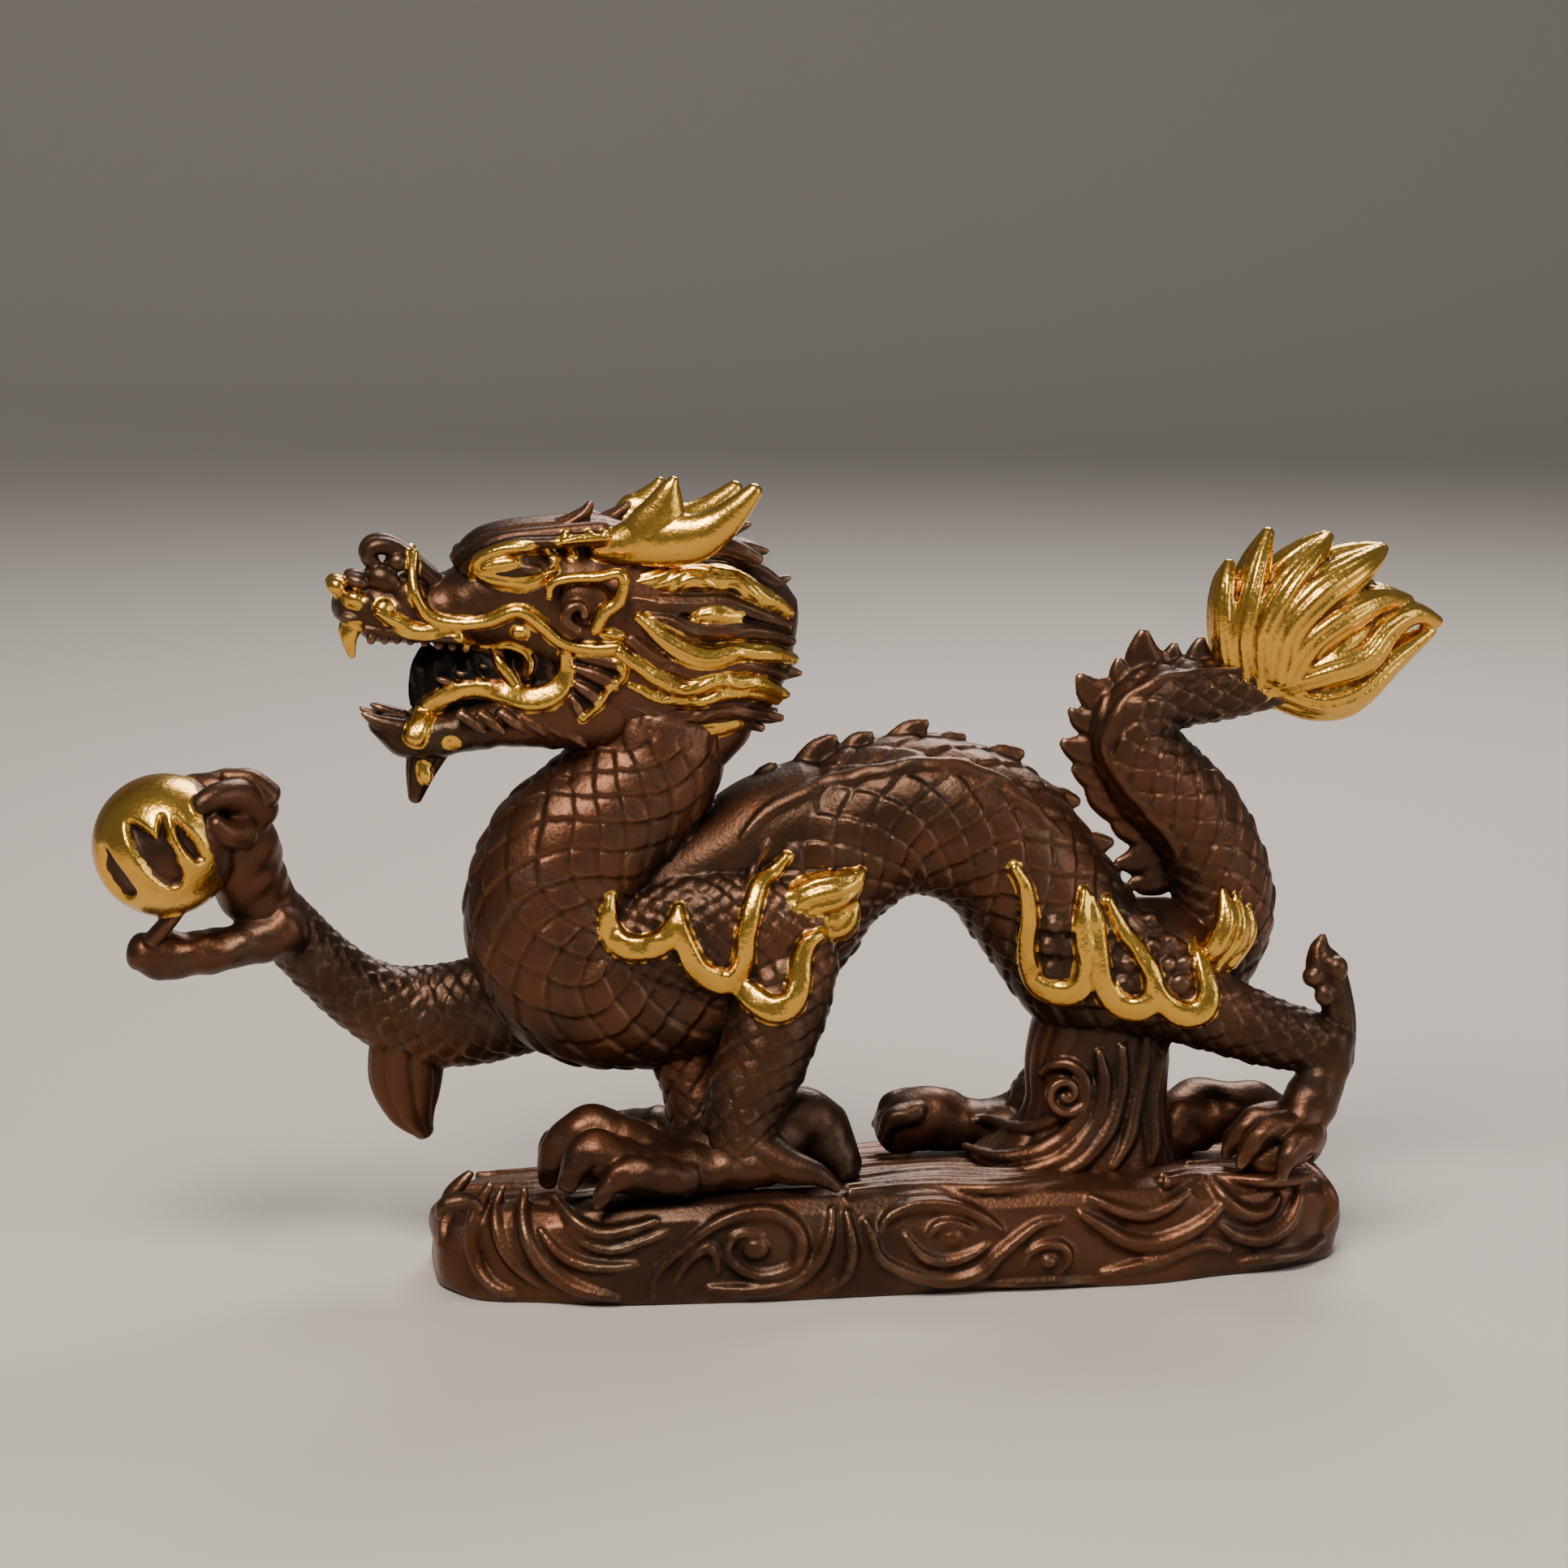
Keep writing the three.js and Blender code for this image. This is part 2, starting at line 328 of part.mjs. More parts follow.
// ---------------------------------------------------------------- the casting
const casting = Manifold.union([
  plinth(), ...scrolls, ...trunk, ...spines, ...tuft, ...head, ...horns, ...locks, ...arm, ...foreleg, ...hind, ...flames,
]).trimByPlane([0, 0, 1], 0);

function toMesh(body, name) {
  const raw = body.getMesh();
  const geometry = new THREE.BufferGeometry();
  geometry.setAttribute('position', new THREE.BufferAttribute(new Float32Array(raw.vertProperties), 3));
  geometry.setIndex([...raw.triVerts]);
  const mesh = new THREE.Mesh(geometry, new THREE.MeshStandardMaterial(PATINA));
  mesh.name = name;
  return mesh;
}

const group = new THREE.Group();
group.add(toMesh(casting, 'dragon_casting'));
export default group;
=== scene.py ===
"""Cast brass dragon striding over a cloud plinth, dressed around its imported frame.

Every form is worked out in millimetres, in the frame of the casting: +Z up, the head towards -X,
the dragon's left side towards -Y, the origin at the centre of the plinth's underside. Limbs are
profiles carried along paths with scales, hair or cloud carved in as relief; the forms of one piece
are then fused into one skin, as molten brass would join them, and rubbed bright where the real
casting is polished.
"""
from __future__ import annotations

import logging
import math
from dataclasses import dataclass, field
from enum import Enum
from typing import Callable, Sequence

import bpy
import numpy as np
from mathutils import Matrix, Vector
from mathutils.bvhtree import BVHTree


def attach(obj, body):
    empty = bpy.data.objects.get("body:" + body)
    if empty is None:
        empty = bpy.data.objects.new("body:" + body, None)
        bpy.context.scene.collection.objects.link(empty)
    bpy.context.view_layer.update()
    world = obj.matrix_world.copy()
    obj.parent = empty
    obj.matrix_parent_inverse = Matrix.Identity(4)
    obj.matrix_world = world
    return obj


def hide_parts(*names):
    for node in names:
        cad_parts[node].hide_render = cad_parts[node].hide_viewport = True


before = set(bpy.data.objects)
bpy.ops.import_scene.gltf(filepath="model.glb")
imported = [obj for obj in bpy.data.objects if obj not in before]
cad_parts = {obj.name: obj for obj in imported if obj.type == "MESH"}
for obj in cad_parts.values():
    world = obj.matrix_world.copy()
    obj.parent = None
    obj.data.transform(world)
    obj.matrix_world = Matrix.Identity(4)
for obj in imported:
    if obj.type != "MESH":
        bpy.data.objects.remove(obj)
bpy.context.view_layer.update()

LOG = logging.getLogger("dragon")
NODE = "dragon_casting"
MM = 0.001

Rows = Sequence[Sequence[float]]
Relief = Callable[[np.ndarray, np.ndarray, np.ndarray], np.ndarray]


# ---------------------------------------------------------------- small numbers
def smooth(low: float, high: float, value: np.ndarray) -> np.ndarray:
    """Smooth step from 0 at low to 1 at high."""
    u = np.clip((value - low) / (high - low), 0.0, 1.0)
    return u * u * (3.0 - 2.0 * u)


def unit(vectors: np.ndarray) -> np.ndarray:
    """The vectors at length 1; a zero vector stays zero."""
    return vectors / np.maximum(np.linalg.norm(vectors, axis=-1, keepdims=True), 1e-9)


def through(rows: Rows, t: np.ndarray) -> np.ndarray:
    """Catmull-Rom value of every column of the rows.

    Args:
        rows: one row per station.
        t: places along the rows, 0 at the first and len(rows) - 1 at the last.

    Returns:
        One row per place.
    """
    table = np.asarray(rows, float)
    i = np.clip(np.floor(t).astype(int), 0, len(table) - 2)
    u = (t - i)[:, None]
    a, b, c, d = (table[np.clip(i + k, 0, len(table) - 1)] for k in (-1, 0, 1, 2))
    return 0.5 * (2 * b + (c - a) * u + (2 * a - 5 * b + 4 * c - d) * u**2 + (3 * b - a - 3 * c + d) * u**3)


def evenly(rows: Rows, step: float) -> tuple[np.ndarray, np.ndarray]:
    """Stations at even steps of length along the Catmull-Rom path of the rows.

    Args:
        rows: stations whose first three columns are x, y, z.
        step: wanted distance between stations, mm.

    Returns:
        The stations and their arc lengths.
    """
    fine = np.linspace(0.0, len(rows) - 1.0, 24 * (len(rows) - 1) + 1)
    path = through(rows, fine)
    run = np.concatenate([[0.0], np.cumsum(np.linalg.norm(np.diff(path[:, :3], axis=0), axis=1))])
    length = np.linspace(0.0, run[-1], max(4, int(np.ceil(run[-1] / step)) + 1))
    return through(rows, np.interp(length, run, fine)), length


# ---------------------------------------------------------------- surfaces
@dataclass
class Surface:
    """One closed surface of triangles, mm."""

    points: np.ndarray
    faces: np.ndarray
    # points that are bright; on the ball only its lit side, so that its shaded side is painted shade
    polished_and_lit: np.ndarray | None = None

    def mirrored(self) -> "Surface":
        """The same surface on the dragon's other side."""
        return Surface(self.points * [1.0, -1.0, 1.0], self.faces[:, ::-1], self.polished_and_lit)


def rings_to_surface(rings: np.ndarray, tips: np.ndarray) -> Surface:
    """Joins rings of points and closes both ends on a tip.

    Args:
        rings: (n, k, 3) points.
        tips: (2, 3) first and last tip.

    Returns:
        A closed surface whose faces point outwards.
    """
    n, k = rings.shape[:2]
    i, j = np.meshgrid(np.arange(n - 1), np.arange(k), indexing="ij")
    j1 = (j + 1) % k
    a, b, c, d = i * k + j, i * k + j1, (i + 1) * k + j1, (i + 1) * k + j
    wall = np.concatenate([np.stack([a, b, c], -1).reshape(-1, 3), np.stack([a, c, d], -1).reshape(-1, 3)])
    ring = np.arange(k)
    turn = np.roll(ring, -1)
    first = np.stack([np.full(k, n * k), turn, ring], -1)
    last = np.stack([np.full(k, n * k + 1), (n - 1) * k + ring, (n - 1) * k + turn], -1)
    points = np.concatenate([rings.reshape(-1, 3), tips])
    faces = np.concatenate([wall, first, last])
    p = points[faces]
    volume = np.einsum("ij,ij->i", p[:, 0], np.cross(p[:, 1], p[:, 2])).sum()
    return Surface(points, faces if volume > 0 else faces[:, ::-1])


def limb(rows: Rows, step: float = 0.8, around: int = 0, power: float = 2.0, side: Sequence[float] = (0, 1, 0),
         relief: Relief | None = None, ends: float = 0.8, span: tuple[float, float] | None = None) -> Surface:
    """A rounded profile carried along a path.

    Each section is a superellipse |u / across|^power + |v / high|^power = 1, with "across" as near to
    the side direction as the path allows. The relief is added along the section's normal, and each
    end closes in a dome.

    Args:
        rows: stations [x, y, z, half across, half high], optionally followed by that station's side vector.
        step: spacing of the rings and of the points round them, mm.
        around: points round a section; 0 takes it from the step.
        power: 2 for an ellipse, more for squarer sections.
        side: direction that "across" follows.
        relief: height over the section as a function of arc length, angle and girth.
        ends: length of the end domes, as a share of the smaller half size.
        span: first and last arc length to keep, so that one carved path can be shared by two pieces.

    Returns:
        The closed surface.
    """
    s, length = evenly(rows, step)
    if span is not None:
        kept = (length >= span[0]) & (length <= span[1])
        s, length = s[kept], length[kept]
    centre, a, b = s[:, :3], np.maximum(s[:, 3:4], 0.12), np.maximum(s[:, 4:5], 0.12)
    tangent = unit(np.gradient(centre, axis=0))
    wanted = s[:, 5:8] if s.shape[1] >= 8 else np.broadcast_to(np.asarray(side, float), centre.shape)
    across = unit(wanted - tangent * np.einsum("ij,ij->i", wanted, tangent)[:, None])
    high = np.cross(tangent, across)

    lift = np.sin(np.radians([80.0, 62.0, 42.0, 20.0]))[:, None]
    dome, shrink = lift * ends, np.sqrt(1.0 - lift**2)
    small = np.minimum(a, b)
    centre = np.concatenate([centre[:1] - tangent[:1] * small[:1] * dome, centre,
                             centre[-1:] + tangent[-1:] * small[-1:] * dome[::-1]])
    tips = np.stack([s[0, :3] - tangent[0] * small[0] * ends, s[-1, :3] + tangent[-1] * small[-1] * ends])
    length = np.concatenate([length[:1] - (small[:1] * dome)[:, 0], length, length[-1:] + (small[-1:] * dome[::-1])[:, 0]])
    a = np.concatenate([a[:1] * shrink, a, a[-1:] * shrink[::-1]])
    b = np.concatenate([b[:1] * shrink, b, b[-1:] * shrink[::-1]])
    across = np.concatenate([np.repeat(across[:1], 4, 0), across, np.repeat(across[-1:], 4, 0)])
    high = np.concatenate([np.repeat(high[:1], 4, 0), high, np.repeat(high[-1:], 4, 0)])

    girth = np.pi * (3 * (a + b) - np.sqrt((3 * a + b) * (a + 3 * b)))
    count = around or int(np.clip(np.ceil(girth.max() / step), 10, 260))
    angle = np.linspace(0.0, 2 * np.pi, count, endpoint=False)[None, :]
    cos, sin = np.cos(angle), np.sin(angle)
    u = a * np.sign(cos) * np.abs(cos) ** (2 / power)
    v = b * np.sign(sin) * np.abs(sin) ** (2 / power)
    out = unit(across[:, None, :] * (cos / a)[..., None] + high[:, None, :] * (sin / b)[..., None])
    rings = centre[:, None, :] + across[:, None, :] * u[..., None] + high[:, None, :] * v[..., None]
    if relief is not None:
        height = relief(length[:, None], angle, girth)
        rings = rings + out * (np.minimum(height, small.max()) * np.ones_like(u))[..., None]
    return rings_to_surface(rings, tips)


def blob(centre: Sequence[float], radii: Sequence[float], lean: float = 0.0, step: float = 0.5) -> Surface:
    """An ellipsoid, turned by lean degrees about Y.

    Args:
        centre: its centre, mm.
        radii: half sizes along X, Y and Z before it is turned.
        lean: turn about Y, degrees, positive lifting the -X end.
        step: spacing of its points, mm.

    Returns:
        The closed surface.
    """
    count = int(np.clip(2 * np.pi * max(radii) / step, 12, 200))
    theta = np.linspace(0, np.pi, count // 2 + 2)[1:-1, None]
    phi = np.linspace(0, 2 * np.pi, count, endpoint=False)[None, :]
    ball = np.stack([np.sin(theta) * np.cos(phi), np.sin(theta) * np.sin(phi), np.cos(theta) * np.ones_like(phi)], -1)
    f = math.radians(lean)
    turn = np.array([[math.cos(f), 0, math.sin(f)], [0, 1, 0], [-math.sin(f), 0, math.cos(f)]])
    place = lambda p: (p * radii) @ turn.T + np.asarray(centre, float)
    return rings_to_surface(place(ball), place(np.array([[0.0, 0.0, 1.0], [0.0, 0.0, -1.0]])))


# ---------------------------------------------------------------- carved reliefs
@dataclass(frozen=True)
class Scales:
    """Plates that overlap like roof tiles, each pointing along the limb.

    A plate rises evenly from its root to its edge; the edge of a plate in row r runs from
    r + 1 at its corners to r + 2 at its tip, as 1 + (1 - |2 v|^point) in rows. A groove follows the
    edge, and the plate falls away to both sides as a square of the distance from its middle.
    """

    pitch: float = 3.4
    columns: int = 14
    lift: float = 1.0
    point: float = 1.35
    shift: float = 0.0
    groove: float = 0.5
    dome: float = 1.2
    uneven: float = 0.3

    def __call__(self, length: np.ndarray, angle: np.ndarray, girth: np.ndarray) -> np.ndarray:
        """Height of the plates, mm."""
        turn = angle / (2 * np.pi)
        warp = self.uneven * (0.5 * np.sin(0.11 * length + 9 * turn) + 0.35 * np.sin(0.23 * length - 22 * turn + 2))
        u = length / self.pitch + 40.0 + warp
        v = turn * self.columns + self.shift + 0.3 * warp
        row = np.floor(u)

        def plate(r: np.ndarray) -> tuple[np.ndarray, np.ndarray]:
            """Rise of the plate of row r and how far its edge lies beyond the point."""
            column = np.round(v - 0.5 * (r % 2))
            across = v - 0.5 * (r % 2) - column
            reach = 2.0 - np.abs(2 * across) ** self.point
            chance = np.abs(np.sin(r * 12.9898 + (column % self.columns) * 78.233) * 43758.5453) % 1.0
            share = (u - r) / reach
            rise = (share - 0.35 * smooth(0.8, 1.0, share)) * (0.75 + 0.5 * chance) - self.dome * across**2
            return rise, reach - (u - r)

        over, beyond = plate(row - 1)
        under, _ = plate(row)
        cut = np.exp(-((beyond * self.pitch / 0.42) ** 2))
        return self.lift * np.where(beyond > 0, over, under) - self.groove * cut


@dataclass(frozen=True)
class Strands:
    """Grooves that run along a lock of hair: depth times (1 - |sin(count angle / 2)|)^3, wandering a little."""

    count: int = 8
    depth: float = 0.6
    wander: float = 0.5
    wave: float = 14.0
    start: float = 0.3

    def __call__(self, length: np.ndarray, angle: np.ndarray, girth: np.ndarray) -> np.ndarray:
        """Height of the strands, mm, never above 0."""
        turn = self.count * angle / 2 + self.wander * np.sin(length / self.wave) + self.start
        narrow = np.clip(girth / girth.max(), 0.25, 1.0)
        return -self.depth * narrow * (1.0 - np.abs(np.sin(turn))) ** 2


@dataclass(frozen=True)
class Knots:
    """Uneven cast swelling: three sines of length and angle."""

    height: float = 0.4
    wave: float = 6.0

    def __call__(self, length: np.ndarray, angle: np.ndarray, girth: np.ndarray) -> np.ndarray:
        """Height of the swelling, mm."""
        k = 2 * np.pi / self.wave
        return self.height * (0.5 * np.sin(k * length + 2 * angle) + 0.3 * np.sin(1.7 * k * length - 3 * angle + 1)
                              + 0.2 * np.sin(0.6 * k * length + 5 * angle))


# ---------------------------------------------------------------- finish
class Socket:
    """A shader socket whose arithmetic adds Math nodes."""

    def __init__(self, tree: "Shader", socket: bpy.types.NodeSocket) -> None:
        """Wraps one output socket of the shader."""
        self.tree, self.socket = tree, socket

    def _math(self, operation: str, *values: "Socket | float", clamp: bool = False) -> "Socket":
        """One Math node."""
        return self.tree.node("ShaderNodeMath", {"operation": operation, "use_clamp": clamp}, *values)

    def __add__(self, other: "Socket | float") -> "Socket":
        """Sum."""
        return self._math("ADD", self, other)

    def __sub__(self, other: "Socket | float") -> "Socket":
        """Difference."""
        return self._math("SUBTRACT", self, other)

    def __rsub__(self, other: "Socket | float") -> "Socket":
        """Difference from a number."""
        return self._math("SUBTRACT", other, self)

    def __mul__(self, other: "Socket | float") -> "Socket":
        """Product."""
        return self._math("MULTIPLY", self, other)

    __radd__, __rmul__ = __add__, __mul__

    def ramp(self, low: float, high: float) -> "Socket":
        """0 below low, 1 above high, smooth between."""
        return self.tree.node("ShaderNodeMapRange", {"interpolation_type": "SMOOTHSTEP"}, self, low, high, 0.0, 1.0)

    def clamped(self) -> "Socket":
        """Held between 0 and 1."""
        return self._math("ADD", self, 0.0, clamp=True)


class Shader:
    """Node tree of one material."""

    def __init__(self, name: str) -> None:
        """Makes a material with a Principled shader."""
        self.material = bpy.data.materials.new(name)
        self.material.use_nodes = True
        self.nodes, self.links = self.material.node_tree.nodes, self.material.node_tree.links
        self.nodes.clear()
        self.surface = self.nodes.new("ShaderNodeBsdfPrincipled")
        output = self.nodes.new("ShaderNodeOutputMaterial")
        self.links.new(self.surface.outputs[0], output.inputs["Surface"])

    def node(self, kind: str, settings: dict[str, object], *values: object, output: int | str = 0,
             **named: object) -> Socket:
        """Adds one node.

        Args:
            kind: the node's type.
            settings: its properties, set first.
            values: values or sockets of its inputs in order.
            output: which output is wanted.
            named: values or sockets of inputs by name, with _ for a space.

        Returns:
            The wanted output.
        """
        made = self.nodes.new(kind)
        for key, value in settings.items():
            setattr(made, key, value)
        for key, value in [*enumerate(values), *((k.replace("_", " "), v) for k, v in named.items())]:
            self.feed(made.inputs[key], value)
        return Socket(self, made.outputs[output])

    def feed(self, entry: bpy.types.NodeSocket, value: object) -> None:
        """Links a socket or sets a value."""
        if isinstance(value, Socket):
            self.links.new(value.socket, entry)
        else:
            entry.default_value = value

    def blend(self, share: "Socket | float", first: object, second: object) -> Socket:
        """Mix of two colours."""
        made = self.nodes.new("ShaderNodeMix")
        made.data_type, made.clamp_factor = "RGBA", True
        for entry, value in zip((made.inputs[0], made.inputs[6], made.inputs[7]), (share, first, second)):
            self.feed(entry, value)
        return Socket(self, made.outputs[2])

    def attribute(self, name: str) -> Socket:
        """A number stored on the piece's points."""
        return self.node("ShaderNodeAttribute", {"attribute_name": name, "attribute_type": "GEOMETRY"}, output="Fac")

    def noise(self, scale: float, detail: float = 3.0) -> Socket:
        """Noise over Object coordinates, about 0.5."""
        where = self.node("ShaderNodeTexCoord", {}, output="Object")
        return self.node("ShaderNodeTexNoise", {}, Vector=where, Scale=scale, Detail=detail, Roughness=0.55)

    def connect(self, **inputs: object) -> None:
        """Sets or links inputs of the surface shader."""
        for key, value in inputs.items():
            self.feed(self.surface.inputs[key.replace("_", " ")], value)


Colour = tuple[float, float, float, float]


@dataclass(frozen=True)
class RubbedBrass:
    """Dark patina over cast brass, rubbed back to bright metal where the gilt attribute is 1.

    The hollow attribute darkens recesses, partly the patina kept there and partly painted shade;
    the crest attribute bares the coppery high spots, partly rubbed wear and partly a painted highlight.
    """

    name: str = "rubbed_brass"
    patina: Colour = (0.050, 0.023, 0.0115, 1)
    patina_warm: Colour = (0.105, 0.040, 0.018, 1)
    patina_grey: Colour = (0.070, 0.047, 0.030, 1)
    # near black of the recesses: partly patina kept there, partly painted shade
    soot: Colour = (0.006, 0.0035, 0.0025, 1)
    # coppery high spots: partly rubbed wear, partly a painted highlight
    copper_wear_and_highlight: Colour = (0.42, 0.23, 0.125, 1)
    brass: Colour = (0.72, 0.40, 0.065, 1)
    # darker brass: painted shade on the gilt in recesses, and random tone
    brass_shade_and_tone: Colour = (0.34, 0.135, 0.022, 1)
    # brown of the gilt's deep grooves: partly patina kept there, partly painted shade
    groove_patina_and_shade: Colour = (0.10, 0.036, 0.012, 1)
    patina_roughness: float = 0.40
    brass_roughness: float = 0.24

    def material(self) -> bpy.types.Material:
        """Builds the material."""
        s = Shader(self.name)
        gilt, hollow, crest = s.attribute("gilt"), s.attribute("hollow"), s.attribute("crest")
        cloud, drift, grain = s.noise(120.0), s.noise(28.0, 2.0), s.noise(1100.0, 2.0)
        worn = (gilt + (cloud - 0.5) * 0.9 - hollow * 0.35 + crest * 0.12)
        bright = (worn * gilt.ramp(0.05, 0.4)).ramp(0.3, 0.62)
        brown = s.blend(drift.ramp(0.42, 0.62), self.patina, self.patina_warm)
        brown = s.blend(cloud.ramp(0.5, 0.72) * 0.6, brown, self.patina_grey)
        # painted highlight: crests turn coppery, partly as rubbed wear through the patina
        brown = s.blend(crest * (0.5 + 1.2 * (cloud - 0.5)), brown, self.copper_wear_and_highlight)
        # painted shade: recesses darken towards near black, partly as the patina kept in them
        brown = s.blend(hollow * 0.95, brown, self.soot)
        # painted shade and highlight on the gilt: darker in recesses, brighter on crests, with random tone from the
        # noise
        gold = s.blend((hollow * 1.5 + (0.46 - cloud) * 1.1 - crest * 0.4).clamped(), self.brass, self.brass_shade_and_tone)
        gold = s.blend(hollow.ramp(0.35, 0.8) * 0.9, gold, self.groove_patina_and_shade)
        s.connect(
            Base_Color=s.blend(bright, brown, gold),
            Metallic=0.85 + 0.15 * bright,
            Roughness=self.patina_roughness - (self.patina_roughness - self.brass_roughness) * bright
            + (grain - 0.5) * 0.14 + hollow * 0.2 - crest * 0.1,
            Normal=s.node("ShaderNodeBump", {}, Strength=0.35, Distance=0.0003, Height=grain + cloud * 0.8),
        )
        s.surface.inputs["Coat Weight"].default_value = 0.06
        s.surface.inputs["Coat Roughness"].default_value = 0.3
        return s.material


@dataclass(frozen=True)
class Plain:
    """An even matt finish."""

    name: str
    colour: Colour
    roughness: float = 0.9

    def material(self) -> bpy.types.Material:
        """Builds the material."""
        s = Shader(self.name)
        s.connect(Base_Color=self.colour, Roughness=self.roughness)
        return s.material


# ---------------------------------------------------------------- casting
class Rub(Enum):
    """How a form of the casting is finished."""

    # painted shade: forms standing in shadow, painted near black
    PATINA = "patina"
    BRIGHT = "bright"
    PAINTED_SHADE = "soot"


def normals_of(points: np.ndarray, faces: np.ndarray) -> np.ndarray:
    """Area-weighted normals of the points of a triangle mesh."""
    p = points[faces]
    n = np.cross(p[:, 1] - p[:, 0], p[:, 2] - p[:, 0])
    total = np.stack([np.bincount(faces.ravel(), np.repeat(n[:, k], 3), len(points)) for k in range(3)], 1)
    return unit(total)


def on_cloud(points: np.ndarray, cloud: np.ndarray, normals: np.ndarray, cell: float = 0.9) -> np.ndarray:
    """How surely each point lies on the surface that a dense cloud samples.

    The cloud is averaged per cell; a point's distance to the nearest of the 27 cells' tangent planes
    decides: 1 closer than 0.35 mm, 0 beyond 0.7 mm.

    Args:
        points: points to test, mm.
        cloud: points of the surface.
        normals: their normals.
        cell: size of the averaging cells, mm.

    Returns:
        A share from 0 to 1 for each point.
    """
    low = cloud.min(0) - 2 * cell
    size = np.ceil((cloud.max(0) + 2 * cell - low) / cell).astype(int) + 1
    key = np.ravel_multi_index(((cloud - low) / cell).astype(int).T, size)
    cells, slot = np.unique(key, return_inverse=True)
    share = np.bincount(slot)[:, None]
    mean = np.stack([np.bincount(slot, cloud[:, k]) for k in range(3)], 1) / share
    lean = unit(np.stack([np.bincount(slot, normals[:, k]) for k in range(3)], 1))
    near = np.all((points > low + cell) & (points < low + (size - 2) * cell), axis=1)
    inside = np.flatnonzero(near)
    home = ((points[inside] - low) / cell).astype(int)
    best = np.full(len(inside), 9.0)
    for offset in np.stack(np.meshgrid(*[(-1, 0, 1)] * 3), -1).reshape(-1, 3):
        wanted = np.ravel_multi_index((home + offset).T, size)
        at = np.minimum(np.searchsorted(cells, wanted), len(cells) - 1)
        away = points[inside] - mean[at]
        up = np.abs(np.einsum("ij,ij->i", away, lean[at]))
        flat = np.sqrt(np.maximum(np.einsum("ij,ij->i", away, away) - up**2, 0))
        score = up + np.maximum(flat - 0.85 * cell, 0) * 2
        best = np.minimum(best, np.where(cells[at] == wanted, score, 9.0))
    result = np.zeros(len(points))
    result[inside] = 1.0 - smooth(0.35, 0.7, best)
    return result


